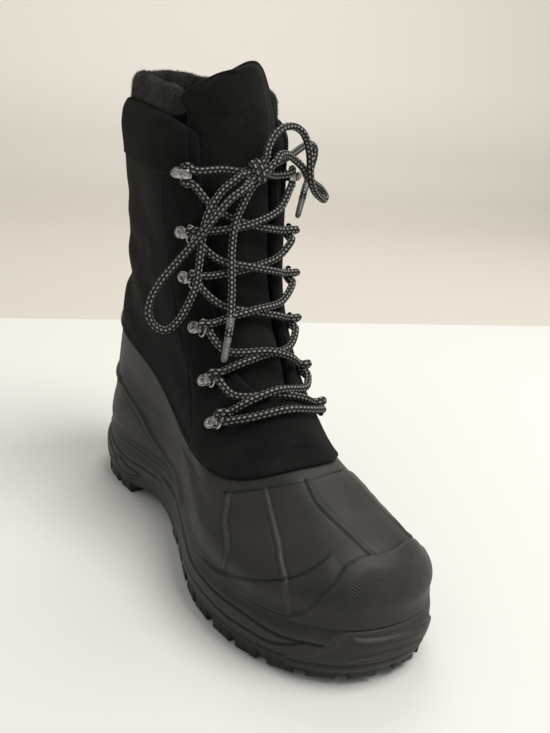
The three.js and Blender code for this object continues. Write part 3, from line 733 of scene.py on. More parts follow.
lapProud, shaftWall, standOff = 1.2, 5.0, 0.9
ringSeats = [(7.43, 32), (8.09, 33), (8.81, 36), (9.46, 40), (10.04, 39)]  # row, degrees; lowest first
hookSeat = (10.9, 40)
clipSize = {"back": 7.5, "thick": 1.5, "width": 7.2, "barrelAt": 2.0, "barrelOuter": 2.0}
ringSize = {"wire": 0.9, "bar": 3.6, "wide": 4.9, "reach": 6.8, "tilt": math.radians(32)}
hookSize = {"back": 6.8, "thick": 1.2, "width": 6.5, "bend": 4.1}


def seatFrame(seat, side):
    row, deg = seat
    at = upperOffset(row, side * deg, lapProud + standOff)
    out = upperNormal(row, side * deg)
    toThroat = upperPoint(row, side * (deg - 2)) - upperPoint(row, side * deg)
    toThroat = unit(toThroat - out * (toThroat @ out))
    upward = np.cross(out, toThroat) * (1 if side < 0 else -1)
    return at, toThroat, upward, out


# A point beside a seat: towards the throat, up along the eyestay, out from the shaft.
def beside(seat, side, toThroat, upward, out):
    at, towards, up, away = seatFrame(seat, side)
    return at + towards * toThroat + up * upward + away * out


# ---- laces and bow

laceSize = {
    "radius": 2.25,
    "clear": 2.8,
    "apart": 2.6,
    "overStands": [6.4, 7.2, 7.6, 6.5],  # height of the upper strand of a crossing over the last
    "underStands": [6.0, 4.4, 3.0, 5.2],
    "topStand": 4.8,
    "knotAt": (5, -75, 220.5),
    "knotAxis": (20, -2, 9),
    "around": 14,
    "spacing": 1.5,
}
risePlaces = [(0.05, -22), (0.08, -12), (0.15, -1), (0.42, 18)]
ringTip = (
    clipSize["barrelAt"] + ringSize["reach"] * math.cos(ringSize["tilt"]),
    clipSize["barrelOuter"] + ringSize["reach"] * math.sin(ringSize["tilt"]),
)


# Where a strand comes to the ring (edge -1) or leaves it (edge 1).
def strandEnd(level, side, edge):
    reach, out = ringTip
    return beside(ringSeats[level], side, reach + laceSize["clear"], edge * laceSize["apart"], out)


# Under the end of the ring, through it and back over it.
def throughRing(level, side):
    u, w = ringTip
    c, s = math.cos(ringSize["tilt"]), math.sin(ringSize["tilt"])
    hold = laceSize["radius"] + ringSize["wire"] + 0.05
    turn = [
        (u + s * hold, -1.9, w - c * hold),
        (u - c * hold, 0, w - s * hold),
        (u - s * hold, 1.9, w + c * hold),
    ]
    inRing = [beside(ringSeats[level], side, *at) for at in turn]
    return [strandEnd(level, side, -1), *inRing, strandEnd(level, side, 1)]


# A strand that crosses the tongue from one ring up to the next on the other side.
def strandOver(level, side, stands):
    low = ringSeats[level][0]
    high = ringSeats[level + 1][0] if level + 1 < len(ringSeats) else hookSeat[0]
    return [
        upperOffset(low + part * (high - low), side * deg, stand)
        for (part, deg), stand in zip(risePlaces, stands)
    ]


def roundHook(side):
    turn = [(8.7, -5.0), (5.6, -5.6), (2.9, -3.9), (2.0, 0), (2.9, 3.8), (5.8, 4.6), (9.5, 2.6)]
    return [beside(hookSeat, side, u, v, hookSize["bend"]) for u, v in turn]


# Half of the lace, from the bottom ring of one side up to a hook.
def climb(side):
    points = []
    for level in range(len(ringSeats)):
        points += throughRing(level, side)
        side = -side
        over = (level % 2 == 0) == (side > 0)
        points += strandOver(level, side, laceSize["overStands" if over else "underStands"])
    return points + roundHook(side)


# The whole lace: from the knot down one side, across the bottom bar and up the other side.
def laceRun():
    low = ringSeats[0][0] - 0.2
    bar = [upperOffset(row, deg, 6.4) for row, deg in ((low, -12), (low - 0.03, 0), (low, 12))]
    top = hookSeat[0]
    fromMedial, fromLateral = climb(-1), climb(1)
    toKnotMedial = [upperOffset(top + 0.1, -12, laceSize["topStand"]), np.array((-1.5, -73, 219.5))]
    toKnotLateral = [upperOffset(top + 0.02, 14, laceSize["topStand"]), np.array((11, -72, 219.5))]
    return [*toKnotLateral[::-1], *fromMedial[::-1], *bar, *fromLateral, *toKnotMedial]


# Lengths of braided cord as one piece, with a length-and-round map for the flecks.
def addBraid(name, lines, replaced):
    around = laceSize["around"]
    points, faces = joinParts([tubeParts(line, laceSize["radius"], around) for line in lines])
    piece = addMesh(name, points, faces, braid, "lace_braid", replaced)
    setTubePlace(piece, around, np.repeat(np.concatenate([walkedAlong(line) for line in lines]), around))
    return piece


# The knot: two turns of wrap round its middle, and the strands that come out of it.
def knotLines():
    at, axis = np.array(laceSize["knotAt"], float), unit(np.array(laceSize["knotAxis"], float))
    across = unit(np.cross(axis, (0, -1, 0)))
    deep = np.cross(across, axis)
    angle = np.linspace(0, 4 * math.pi, 22)
    wrap = [
        at + axis * (-2.6 + 5.0 * a / (4 * math.pi)) + across * 5.2 * math.cos(a) + deep * 4.5 * math.sin(a)
        for a in angle
    ]
    links = [
        [(-7, -75, 218), (-1, -76, 219.5), (5, -77, 223), (10, -76.5, 230)],
        [(-4.5, -79.5, 213), (1, -77.5, 217), (8, -75, 219.5), (16, -71, 222.5)],
        [(18, -75, 228), (11, -77.5, 223), (5, -76.5, 218), (1.4, -75, 211)],
        [(-5, -71.5, 219.5), (2, -71, 220.5), (8, -71, 221), (14, -71, 220)],
    ]
    return [throughPoints(line, 1.2) for line in (wrap, *links)]


cordRoutes = {
    "lace_loop_medial": [
        (-5, -75, 219), (-10, -75, 215), (-16, -74, 210), (-22, -74, 202), (-26, -74, 193),
        (-28, -74, 181), (-29.5, -75, 168), (-31, -75, 156), (-35, -74, 145), (-40, -72, 135),
        (-46, -69, 129), (-52, -67, 131), (-56, -66, 138), (-55, -66, 147), (-50, -67, 157),
        (-40, -70, 170), (-31, -76, 184), (-24, -80, 195), (-15, -82, 206), (-8, -82, 211),
        (-2, -79, 214.5),
    ],
    "lace_loop_lateral": [
        (9, -77, 228.5), (11, -75, 234), (15, -73, 240), (20, -71, 244), (26, -69, 246),
        (33, -67, 246), (39, -66, 243), (43, -65, 238), (45, -66, 230), (46, -66, 222),
        (48, -65, 215), (54, -61, 208), (61, -57, 204), (68, -51, 202), (72, -46, 204),
        (69, -45, 208), (60, -50, 212), (51, -56, 216), (42, -63, 223), (34, -65, 228),
        (27, -69, 230.5), (20, -73, 230), (15, -77, 225.5),
    ],
    "lace_end_medial": [
        (2, -75, 212.5), (-1, -75, 207), (-4, -75, 201), (-7, -75, 194), (-9, -76, 187),
        (-10, -77, 179), (-11, -79, 171), (-12, -82, 163), (-13, -85, 155), (-15, -89, 147),
        (-17, -93, 140), (-19, -96, 134.5), (-21, -98.5, 130),
    ],
    "lace_end_lateral": [
        (14, -73, 220.5), (17, -70, 223.5), (22, -66.5, 225.5), (28, -62, 226.5), (34, -57, 227.5),
        (40, -51.5, 228.5), (47, -45, 230), (54, -39, 232), (61, -34, 234), (67, -31, 235),
        (71, -30, 233), (71, -31, 228), (68, -33, 221), (65, -35, 214), (61, -38, 207),
        (57, -42, 201),
    ],
}


# Tag in line with the end of a lace, with a crimped sheath up over the braid.
def addAglet(name, line):
    along = unit(line[-1] - line[-2])
    line = np.vstack([line[-9:], line[-1] + along * np.linspace(0.8, 14.3, 12)[:, None]])
    walked = walkedAlong(line)
    radius = np.interp(walked, [0, 0.8, 3, walked[-1] - 2, walked[-1] - 0.6, walked[-1]],
                       [2.3, 2.4, 2.3, 1.9, 1.75, 1.2])
    around = 16
    piece = addMesh(name + "_tag", *tubeParts(line, radius, around), tagPlastic, "lace_tag", [name])
    setTubePlace(piece, around, np.repeat(walked, around))
    return piece


def makeLaces():
    spacing, diameter = laceSize["spacing"], 2 * laceSize["radius"]
    for name, route in cordRoutes.items():
        line = throughPoints(route, spacing)
        piece = addBraid(name + "_braid", [line], [name])
        isEnd = name.startswith("lace_end")
        pieces = [addAglet("aglet_" + name.rsplit("_", 1)[1], line)] if isEnd else []
    crossings = [f"lace_cross_{i}" for i in range(1, 6)]
    addBraid("laces", [throughPoints(laceRun(), spacing)], ["lace_bar_bottom", *crossings, "lace_bar_top"])
    addBraid("lace_bow_knot", knotLines(), ["lace_knot"])


makeLaces()
print("laces run and bow tied")

# ---- sole

soleSize = {
    "tread": 6, "rim": 5.5, "bedDrop": 11, "toeSpring": 4, "toeRollsFrom": -182,
    "heelBevel": 10, "heelRollsFrom": 34, "archRise": 7, "archFrom": -74, "archTo": -15,
}
lugSize = {
    "pitch": 19.5, "length": 14.6, "reach": 19, "proud": 2.2, "narrowIn": 0.85, "toeFrom": -205,
    "toeNarrowIn": 0.55, "toeReach": 0.75,
    "middlePitch": 20, "middleWidth": 24, "middleSpans": [(-208, -88), (-1, 19)],
    "bevel": 0.9, "notchWide": 1.6, "notchDeep": 0.5,
}
wallProfile = [(0, 1.4), (0.12, 3), (0.4, 4.4), (0.75, 4.2), (1, 2)]  # part of height, out
feather = girthRows[0]


# Height of the tread's underside: toe spring and heel bevel.
def springAt(y):
    toe = np.maximum(0, (soleSize["toeRollsFrom"] - y) / (soleSize["toeRollsFrom"] - feather["front"]))
    heel = np.maximum(0, (y - soleSize["heelRollsFrom"]) / (feather["back"] - soleSize["heelRollsFrom"]))
    return soleSize["toeSpring"] * toe**1.7 + soleSize["heelBevel"] * heel**2


# Underside of the sole above the tread, with its arch.
def baseAt(y):
    t = np.clip((y - soleSize["archFrom"]) / (soleSize["archTo"] - soleSize["archFrom"]), 0, 1)
    return springAt(y) + soleSize["tread"] + soleSize["archRise"] * np.sin(math.pi * t) ** 0.8


def edgeOut(deg):
    along = upperPoint(0, deg + 1) - upperPoint(0, deg - 1)
    side = np.stack([along[..., 1], -along[..., 0], np.zeros(along.shape[:-1])], -1)
    return unit(side)


# A point beside the sole's top edge; out is away from the foot.
def edgePoint(deg, out):
    return upperPoint(np.zeros(np.shape(deg)), deg) + edgeOut(deg) * np.asarray(out, float)[..., None]


# A point of the side wall; part is its share of the height.
def wallPoint(part, deg):
    part, deg = np.broadcast_arrays(np.asarray(part, float), np.asarray(deg, float))
    parts, outs = zip(*wallProfile)
    p = edgePoint(deg, smoothThrough(parts, outs, part))
    low = baseAt(p[..., 1])
    p[..., 2] = low + (p[..., 2] - gap - low) * part
    return p


# Height of the bed that the insole lies on.
def bedAt(y):
    share = np.clip((y - feather["back"]) / (feather["front"] - feather["back"]), 0, 1)
    deg = np.degrees(np.arccos(2 * share - 1))
    return np.maximum(upperPoint(np.zeros(np.shape(deg)), deg)[..., 2] - soleSize["bedDrop"], baseAt(y) + 3)


# Lines on the wall, each point as part of the height and degrees round. Medial is negative.
wallLines = {
    "foxing": [(0.84, -100), (0.84, -74), (0.76, -66), (0.72, -54), (0.72, -45), (0.6, -34), (0.6, -27),
               (0.6, -21)],
    "lens": [(0.5, -82), (0.44, -71), (0.44, -61), (0.4, -52), (0.4, -43), (0.36, -36), (0.48, -30),
             (0.58, -27)],
    "bumper": [(0.2, -31), (0.36, -26), (0.4, -24), (0.64, -19), (0.96, -15), (0.985, -11), (0.985, 0),
               (0.985, 11), (0.96, 15), (0.64, 19), (0.4, 24), (0.2, 31)],
    "step": [(0.84, -12), (0.8, -10), (0.76, -1), (0.7, 8), (0.64, 13)],
    "lowStep": [(0.3, -13), (0.34, -9), (0.36, -1), (0.32, 8), (0.24, 13)],
    "welt": [(0.13, -180), (0.13, -90), (0.13, 0), (0.13, 90), (0.13, 180)],
    "heelTop": [(0.96, -138), (0.7, -122), (0.62, -110), (0.7, -100)],
    "heelZigA": [(0.88, -150), (0.84, -138), (0.42, -126), (0.36, -136), (0.7, -148), (0.88, -150)],
    "heelZigB": [(0.6, -124), (0.3, -112), (0.24, -122), (0.34, -127)],
    "heelZigC": [(0.9, -166), (0.86, -156), (0.4, -144), (0.32, -156), (0.72, -168), (0.9, -166)],
}


# Depth and width of the grooves among them.
wallCuts = {
    "foxing": (1.3, 0.62), "lens": (1.2, 0.6), "welt": (1.1, 0.6), "heelTop": (1.0, 0.65),
    "heelZigA": (1.5, 0.8), "heelZigB": (1.5, 0.8), "heelZigC": (1.5, 0.8),
}
bumperSize = {"proud": 1.3, "halfDegrees": 40, "step": 0.7, "stepWidth": 0.7}


# How far the wall stands out or is cut in, where its grooves get painted shade, and where it is lightened on
# raised edges and beside the grooves, partly rubbed wear and partly painted highlight.
def wallHeights(points, part, deg):
    height, grooveShade, proud = np.zeros((3, len(points)))
    signedDeg = signedDegrees(deg)
    both = {}
    for name, line in wallLines.items():
        if name in ("bumper", "step", "lowStep", "welt"):
            both[name] = distanceTo(points, lineOn(line, 0.1, wallPoint))
        else:
            both[name] = nearBoth(points, line, 0.1, wallPoint)
    # Each groove gets painted shade, with a painted highlight line beside it.
    for name, (depth, width) in wallCuts.items():
        cut = crest(both[name], width)
        height -= depth * cut
        grooveShade = np.maximum(grooveShade, cut)
        proud = np.maximum(proud, 0.5 * crest(both[name] - 1.9, 0.8))
    # The toe bumper stands out under its edge, with two low steps on it; its edge and the steps are
    # lightened, partly rubbed wear and partly painted highlight.
    edgePart, edgeDeg = zip(*wallLines["bumper"])
    under = part < np.interp(signedDeg, edgeDeg, edgePart, left=-1, right=-1)
    signed = np.where(under, both["bumper"], -both["bumper"])
    onBumper = smoothStep(-0.7, 0.7, signed) * (np.abs(signedDeg) < bumperSize["halfDegrees"])
    height += bumperSize["proud"] * onBumper
    proud = np.maximum(proud, crest(both["bumper"] - 0.6, 0.8) * (np.abs(signedDeg) < 32))
    for name in ("step", "lowStep"):
        ridge = crest(both[name], bumperSize["stepWidth"])
        height += bumperSize["step"] * (ridge - 0.5 * crest(both[name] - 1.7, bumperSize["stepWidth"]))
        proud = np.maximum(proud, ridge)
    return height, grooveShade, proud


# A block of the tread with bevelled edges and a small notch in its outer face.
def lugParts(corners):
    outerRight, innerRight, innerLeft, outerLeft = np.asarray(corners, float)
    along = unit(outerLeft - outerRight)
    inward = unit(innerRight - outerRight)
    centre = (outerRight + outerLeft) / 2
    wide, deep = lugSize["notchWide"] / 2, lugSize["notchDeep"]
    outline = np.array([
        outerRight, centre - along * wide, centre + inward * deep, centre + along * wide,
        outerLeft, innerLeft, innerRight,
    ])[:, :2]
    inset = outline + unit(outline.mean(0) - outline) * lugSize["bevel"]
    points = np.vstack([
        np.column_stack([inset, springAt(inset[:, 1])]),
        np.column_stack([outline, springAt(outline[:, 1]) + lugSize["bevel"]]),
        np.column_stack([outline, baseAt(outline[:, 1]) + 1]),
    ])
    return points, [*gridFaces(3, 7, wrapColumns=True), loopFace(0, 7)]


# Corners of the lugs: a row along the edge, left out under the arch, and a row down the middle.
def lugCorners():
    fine = np.arange(361.0)
    edge = edgePoint(fine, np.zeros(361))
    found = []
    walked, following = 0.0, lugSize["pitch"] / 2
    for i in range(1, 361):
        walked += np.linalg.norm(edge[i] - edge[i - 1])
        if walked < following:
            continue
        following += lugSize["pitch"]
        p = edge[i] * (1, 1, 0)
        if soleSize["archFrom"] - 2 < p[1] < soleSize["archTo"] + 2:
            continue
        along = unit((edge[(i + 1) % 360] - edge[i - 1]) * (1, 1, 0))
        inward = np.array((-along[1], along[0], 0))
        atToe = p[1] < lugSize["toeFrom"]
        narrow = lugSize["toeNarrowIn"] if atToe else lugSize["narrowIn"]
        reach = lugSize["reach"] * (lugSize["toeReach"] if atToe else 1)
        half, proud = lugSize["length"] / 2, -lugSize["proud"]
        found.append([
            p + along * half + inward * proud, p + along * half * narrow + inward * reach,
            p - along * half * narrow + inward * reach, p - along * half + inward * proud,
        ])
    wide, long = lugSize["middleWidth"] / 2, lugSize["length"]
    for first, last in lugSize["middleSpans"]:
        for y in np.arange(first, last + 0.1, lugSize["middlePitch"]):
            x = float(middle(y + long / 2))
            left, right = x - wide, x + wide
            found.append([(left, y, 0), (right, y, 0), (right, y + long, 0), (left, y + long, 0)])
    return found


# Finer columns where the toe and the inner side show.
def finerInFront(deg):
    signed = signedDegrees(deg)
    return 1 + 0.9 * smoothStep(-95, -80, signed) * (1 - smoothStep(40, 60, signed))


def makeSole():
    columns = 640
    deg = evenDegrees(0, columns, weight=finerInFront)
    parts = np.linspace(0, 1, 52)
    partGrid, degGrid = np.meshgrid(parts, deg, indexing="ij")
    base = wallPoint(partGrid, degGrid).reshape(-1, 3)
    height, grooveShade, proud = wallHeights(base, partGrid.ravel(), degGrid.ravel())
    fade = smoothStep(-0.01, 0.06, partGrid.ravel())
    outward = np.repeat(edgeOut(deg)[None], len(parts), 0).reshape(-1, 3)
    wall = (base + outward * (height * fade)[:, None]).reshape(len(parts), columns, 3)
    rows = [wall]
    for out, lift in ((1.2, 0), (0.4, -0.6), (-soleSize["rim"] + 0.6, -0.3), (-soleSize["rim"], -0.8)):
        rim = edgePoint(deg, np.full(columns, out))
        rim[:, 2] += lift - gap
        rows.append(rim[None])
    for out in (-soleSize["rim"] - 1, -12, -24):
        bed = edgePoint(deg, np.full(columns, out))
        bed[:, 2] = bedAt(bed[:, 1])
        rows.append(bed[None])
    # Between the lugs the wall comes lower, most of all round the toe.
    web = 2.4 + 1.6 * (1 - smoothStep(30, 60, np.abs(signedDegrees(deg))))
    wall[..., 2] -= web * np.clip(1 - parts / 0.12, 0, 1)[:, None]
    bottom = wall[0]
    spine = np.stack([middle(bottom[:, 1]), bottom[:, 1], bottom[:, 2]], -1)
    under = []
    for share in (1.0, 0.75, 0.5, 0.25):
        ring = bottom + (spine - bottom) * share
        ring[:, 2] = baseAt(ring[:, 1]) - web * (1 - share)
        under.append(ring[None])
    grid = np.concatenate(under + rows)
    body = (grid.reshape(-1, 3), gridFaces(len(grid), columns, wrapColumns=True))
    points, faces = joinParts([body, *map(lugParts, lugCorners())])
    piece = addMesh("outsoleRubber", points, faces, rubber, "sole_rubber", ["outsole"])
    nothing = np.zeros(len(points))
    onWall = slice(len(under) * columns, len(under) * columns + len(base))
    for name, values in (("grooveShade", grooveShade), ("proud", proud), ("hatch", 0)):
        full = nothing.copy()
        full[onWall] = values
        setAttribute(piece, name, full)
    setPlace(piece, nothing, nothing)
    cleanMesh(piece)


makeSole()
print("sole moulded")

# ---- rubber shell

# Edge of the cloth over the rubber, where it is sewn: degrees round, then row.
clothEdge = [
    (-180, 6.95), (-150, 6.95), (-127, 6.9), (-108, 6.75), (-85, 6.5), (-64, 6.25), (-48, 6.34), (-36, 6.3),
    (-22, 6.0), (-12, 5.8), (-1, 5.7), (9, 5.86), (15, 6.08), (27, 6.28), (40, 6.34), (64, 6.25), (85, 6.5),
    (108, 6.75), (127, 6.9), (150, 6.95), (180, 6.95),
]
shellFeatures = {
    "band": [(5.66, -35), (5.65, -33), (5.6, -25), (5.45, -19), (5.25, -10), (5.2, -4), (5.3, 4), (5.45, 12),
             (5.6, 20), (5.66, 28)],
    "ribs": [
        [(5.62, -32), (4.8, -39), (3.65, -48), (2.2, -52), (0.7, -54)],
        [(5.42, -18), (4.9, -21), (4.2, -25), (3.4, -29), (2.7, -32), (1.4, -33), (0.3, -32)],
        [(5.22, -3), (4.8, -4.8), (4.35, -6), (3.55, -5), (2.85, -3.2), (2.66, -2)],
        [(5.45, 11), (4.9, 13.5), (4.2, 16), (3.4, 19), (2.7, 22)],
        [(5.64, 26), (4.8, 32), (3.65, 40), (2.2, 44), (0.7, 46)],
    ],
    "smile": [(0, -69), (0.25, -57), (0.6, -51), (1.55, -39), (2.0, -32), (2.5, -23), (2.8, -17), (3.0, -13)],
    "cap": [(0, -33), (0.55, -27), (1.5, -22), (2.05, -17), (2.45, -13), (2.62, -8), (2.66, -5), (2.62, -1),
            (2.66, 6), (2.75, 13), (2.72, 20), (2.5, 27), (2.0, 33), (1.2, 38), (0.5, 42), (0, 45)],
    "guard": [(0, -84), (0.4, -94), (0.75, -101), (1.65, -109), (2.9, -116), (3.85, -128), (4.3, -150),
              (4.4, -180)],
    "counter": [(5.4, -150), (5.2, -143), (4.6, -134), (3.65, -128)],
}


shellRelief = {  # heights and depths in millimetres
    "cap": 1.3, "rib": 1.0, "lastRib": 0.6, "ribWidth": 0.95, "bandCut": 1.1, "bandWidth": 0.7,
    "smileStep": 0.8, "smileCut": 0.75, "guard": 1.4, "guardWidth": 1.25, "counterCut": 0.7, "flare": 2.15,
}


# How far the rubber stands out or is cut in, where painted shade darkens its grooves, where it is lightened,
# partly rubbed wear and partly painted highlight, and where it is hatched.
def shellHeights(points, row, deg):
    signedDeg = signedDegrees(deg)
    x, y, z = points.T
    height = 0.18 * np.sin(x / 11 + 1) * np.sin(y / 17) * np.sin(z / 9 + 2)
    grooveShade, proud, hatch = np.zeros((3, len(points)))
    # Toe cap: a thicker layer with a sharp edge; painted shade darkens the rubber just below the edge and a
    # painted highlight lightens its rim.
    near = distanceTo(points, lineOn(shellFeatures["cap"]))
    rows, degs = zip(*shellFeatures["cap"])
    capRows = np.interp(signedDeg, degs, rows, left=-1, right=-1)
    signed = np.where(row < capRows, near, -near)
    onCap = smoothStep(-0.55, 0.55, signed)
    height += shellRelief["cap"] * onCap
    grooveShade = np.maximum(grooveShade, 0.8 * crest(signed + 0.9, 0.6))
    proud = np.maximum(proud, 0.55 * crest(signed - 0.7, 0.7))
    hatch = smoothStep(4, 10, signed) * smoothStep(0.5, 1.2, row) * (1 - smoothStep(8, 30, signedDeg))
    # Ribs: rounded, with a slight trough on both sides; their crests are lightened, partly rubbed wear and
    # partly painted highlight.
    for index, rib in enumerate(shellFeatures["ribs"]):
        d = distanceTo(points, lineOn(rib))
        share = np.clip((5.6 - row) / 5.6, 0, 1)
        size = shellRelief["lastRib" if index == 4 else "rib"]
        size = size * (1 - onCap) * (0.85 + 0.15 * np.sin(row * 9 + index))
        ridge = crest(d, shellRelief["ribWidth"])
        height += size * ridge - 0.32 * (1 - onCap) * crest(d - 2.0, 0.6)
        proud = np.maximum(proud, ridge * 0.8 * (1 - onCap) * (0.6 + 0.4 * share))
    # Band under the cloth, marked off by a groove that gets painted shade.
    d = distanceTo(points, lineOn(shellFeatures["band"]))
    cut = crest(d, shellRelief["bandWidth"])
    height -= shellRelief["bandCut"] * cut
    grooveShade = np.maximum(grooveShade, cut)
    # Curved line across the inner side, the rubber below it a little thicker; its cut gets painted shade.
    d = distanceTo(points, lineOn(shellFeatures["smile"]))
    rows, degs = zip(*shellFeatures["smile"])
    side = np.where(row < np.interp(signedDeg, degs, rows, left=-1, right=-1), d, -d)
    ends = smoothStep(-69, -60, signedDeg) * (1 - smoothStep(-19, -13, signedDeg))
    thicker = smoothStep(-0.5, 0.5, side) * (1 - smoothStep(5, 20, side))
    height += shellRelief["smileStep"] * thicker * ends * (1 - onCap)
    cut = crest(side + 0.4, 0.65) * smoothStep(-70, -62, signedDeg)
    cut = cut * (1 - smoothStep(-19, -12.5, signedDeg))
    height -= shellRelief["smileCut"] * cut
    grooveShade = np.maximum(grooveShade, cut)
    # Ridge down the waist and round the heel, lightened partly as rubbed wear and partly as painted
    # highlight, and the heel counter, whose cut gets painted shade.
    for places in twoSided(shellFeatures["guard"]):
        d = distanceTo(points, lineOn(places))
        ridge = crest(d, shellRelief["guardWidth"])
        height += shellRelief["guard"] * ridge - 0.4 * crest(d - 2.7, 0.9)
        proud = np.maximum(proud, ridge)
    for places in twoSided(shellFeatures["counter"]):
        d = distanceTo(points, lineOn(places))
        cut = crest(d, 0.9)
        height -= shellRelief["counterCut"] * cut
        grooveShade = np.maximum(grooveShade, cut)
    return height, grooveShade, proud, hatch


def clothEdgeRow(deg):
    signed = signedDegrees(deg)
    at, rows = zip(*clothEdge)
    return smoothThrough(at, rows, signed)


def makeShell():
    columns = 600
    deg = evenDegrees(2.5, columns, weight=finerInFront)
    top = clothEdgeRow(deg) + 0.16
    rowCount = 140
    # Rows stand evenly apart along the front of the vamp.
    fine = np.linspace(0, 6.0, 601)
    walked = walkedAlong(upperPoint(fine, -15))
    shares = np.interp(np.linspace(0, walked[-1], rowCount), walked, fine) / 6.0
    rowGrid = shares[:, None] * top[None]
    degGrid = np.repeat(deg[None], rowCount, 0)
    base = upperOffset(rowGrid, degGrid, np.zeros(rowGrid.shape)).reshape(-1, 3)
    normals = upperNormal(rowGrid, degGrid).reshape(-1, 3)
    height, grooveShade, proud, hatch = shellHeights(base, rowGrid.ravel(), degGrid.ravel())
    # The foot of the shell runs on into the sole's wall, with a fine line where they meet, darkened with
    # painted shade.
    row = rowGrid.ravel()
    height = height * smoothStep(-0.02, 0.1, row) + shellRelief["flare"] * (1 - smoothStep(0, 0.55, row))
    seam = crest(row - 0.03, 0.035) * smoothStep(25, 36, np.abs(signedDegrees(degGrid).ravel() + 3))
    height -= 0.7 * seam
    grooveShade = np.maximum(grooveShade, seam)
    outer = (base + normals * height[:, None]).reshape(rowCount, columns, 3)
    inside = []
    for share, depth in ((0.99, 2.2), (0.8, 3.5), (0.5, 3.5), (0.2, 3.5), (0.0, 3.5)):
        inside.append(upperOffset(share * (np.minimum(top, 5.95)), deg, np.full(columns, -depth))[None])
    grid = np.concatenate([outer, *inside])
    faces = gridFaces(len(grid), columns, wrapColumns=True, wrapRows=True)
    piece = addMesh("rubberShell", grid.reshape(-1, 3), faces, rubber, "shell_rubber", ["upper_shell"])
    total = grid.shape[0] * columns
    for name, values in (("grooveShade", grooveShade), ("proud", proud), ("hatch", hatch)):
        full = np.zeros(total)
        full[:len(values)] = values
        setAttribute(piece, name, full)
    # The hatch follows a flat map seen from above the toe.
    flat = grid.reshape(-1, 3)
    setPlace(piece, flat[:, 0] * 1.05, 85 * np.arctan2(flat[:, 2] - 5, -(flat[:, 1] + 160)))
    cleanMesh(piece)


makeShell()
print("shell moulded")

# ---- shaft

shaftSize = {
    "slotRow": 7.352, "topRow": 11.88, "cornerDrop": 0.3, "frontDrop": 0.22,  # in rows
    "suedeProud": 0.75, "seamCut": 0.5, "flapLower": 1.5, "topRoll": 2.2, "bandSwell": 1.2, "drape": 0.55,
    "creaseDepth": 0.7, "creaseRim": 0.25,  # shares of the depths below
}
throat = {"centreX": 2, "bottomZ": 98, "halfBottom": 20, "halfTop": 27, "topZ": 280}
shaftFeatures = {
    # Soft troughs and ridges: row and degrees along each, then depth and width in millimetres.
    "creases": [
        ([(9.5, -132), (9.4, -125), (9.3, -112), (9.36, -100)], -2.2, 7),
        ([(8.6, -150), (8.45, -137), (8.1, -124), (7.95, -113)], -2.6, 8),
        ([(8.05, -80), (8.0, -71), (7.85, -62), (7.8, -53)], -1.8, 6),
        ([(8.9, -100), (8.7, -88), (8.62, -76)], -1.4, 6),
        ([(8.28, -118), (8.2, -106), (8.3, -92)], 1.6, 7),
        ([(9.9, -90), (9.8, -78), (9.85, -68)], -1.1, 6),
        ([(7.4, -120), (7.5, -104), (7.45, -88), (7.3, -74)], -1.4, 6),
        ([(10.3, -150), (10.1, -138), (10.05, -124)], -1.2, 7),
        ([(9.1, 85), (8.95, 100), (9.0, 118)], -2.0, 7),
        ([(8.2, 70), (8.05, 86), (8.1, 104), (8.35, 122)], -2.4, 8),
        ([(7.6, 66), (7.5, 84), (7.55, 108)], -1.4, 6),
        ([(9.8, 70), (9.7, 84), (9.75, 98)], -1.1, 6),
        ([(8.5, 150), (8.35, 165), (8.35, 180), (8.35, 195), (8.5, 210)], -2.0, 8),
        ([(9.2, 160), (9.15, 180), (9.2, 200)], -1.2, 8),
    ],
    "eyestay": [(10.84, -57), (10.2, -59), (9.2, -57), (8.3, -53), (7.6, -52), (7.0, -55), (6.5, -60),
                (6.2, -64)],
    "stitches": [
        [(10.2, -59), (10.22, -44), (10.25, -29)],
        [(10.84, -57.5), (10.86, -80), (10.86, -105), (10.86, -130), (10.88, -155), (10.9, -180)],
        [(10.95, -57.5), (10.97, -80), (10.97, -105), (10.97, -130), (10.99, -155), (11.0, -180)],
    ],
    "backSeam": [(10.8, 168), (9.5, 170), (8.2, 168), (7.1, 160)],
    "flap": [(12, 39), (11.4, 38), (10.9, 35.5), (10.5, 31), (10.25, 27)],
}


# Degrees from the toe to the edge of the slot for the tongue, at one row.
def throatEdge(row, side):
    degs = np.linspace(0, 90, 901)
    p = upperPoint(np.full(degs.shape, row), side * degs)
    z = p[:, 2]
    low, high = throat["bottomZ"] + throat["halfBottom"], throat["topZ"]
    half = throat["halfBottom"] + (throat["halfTop"] - throat["halfBottom"]) * (z - low) / (high - low)
    foot = np.sqrt(np.clip(throat["halfBottom"] ** 2 - (z - low) ** 2, 0, None))
    half = np.where(z < low, np.where(z > throat["bottomZ"], foot, 0), half)
    room = half - np.abs(p[:, 0] - throat["centreX"])
    if room[0] <= 0:
        return 0.0
    # Between two samples, where the slot's edge is crossed.
    stop = np.argmax(room <= 0)
    return float(degs[stop - 1] + 0.1 * room[stop - 1] / (room[stop - 1] - room[stop]))


# Each crease is deepest in its middle, with a low rim on either side.
def creaseHeights(points):
    height = np.zeros(len(points))
    for places, depth, width in shaftFeatures["creases"]:
        line = lineOn(places)
        d = distanceTo(points, line)
        ends = np.minimum(*(np.linalg.norm(points - end, axis=1) for end in (line[0], line[-1])))
        near = smoothStep(0, 14, ends)
        height += shaftSize["creaseDepth"] * depth * crest(d, width) * (0.25 + 0.75 * near)
        height -= shaftSize["creaseRim"] * depth * crest(d - 1.9 * width, width) * near
    return height


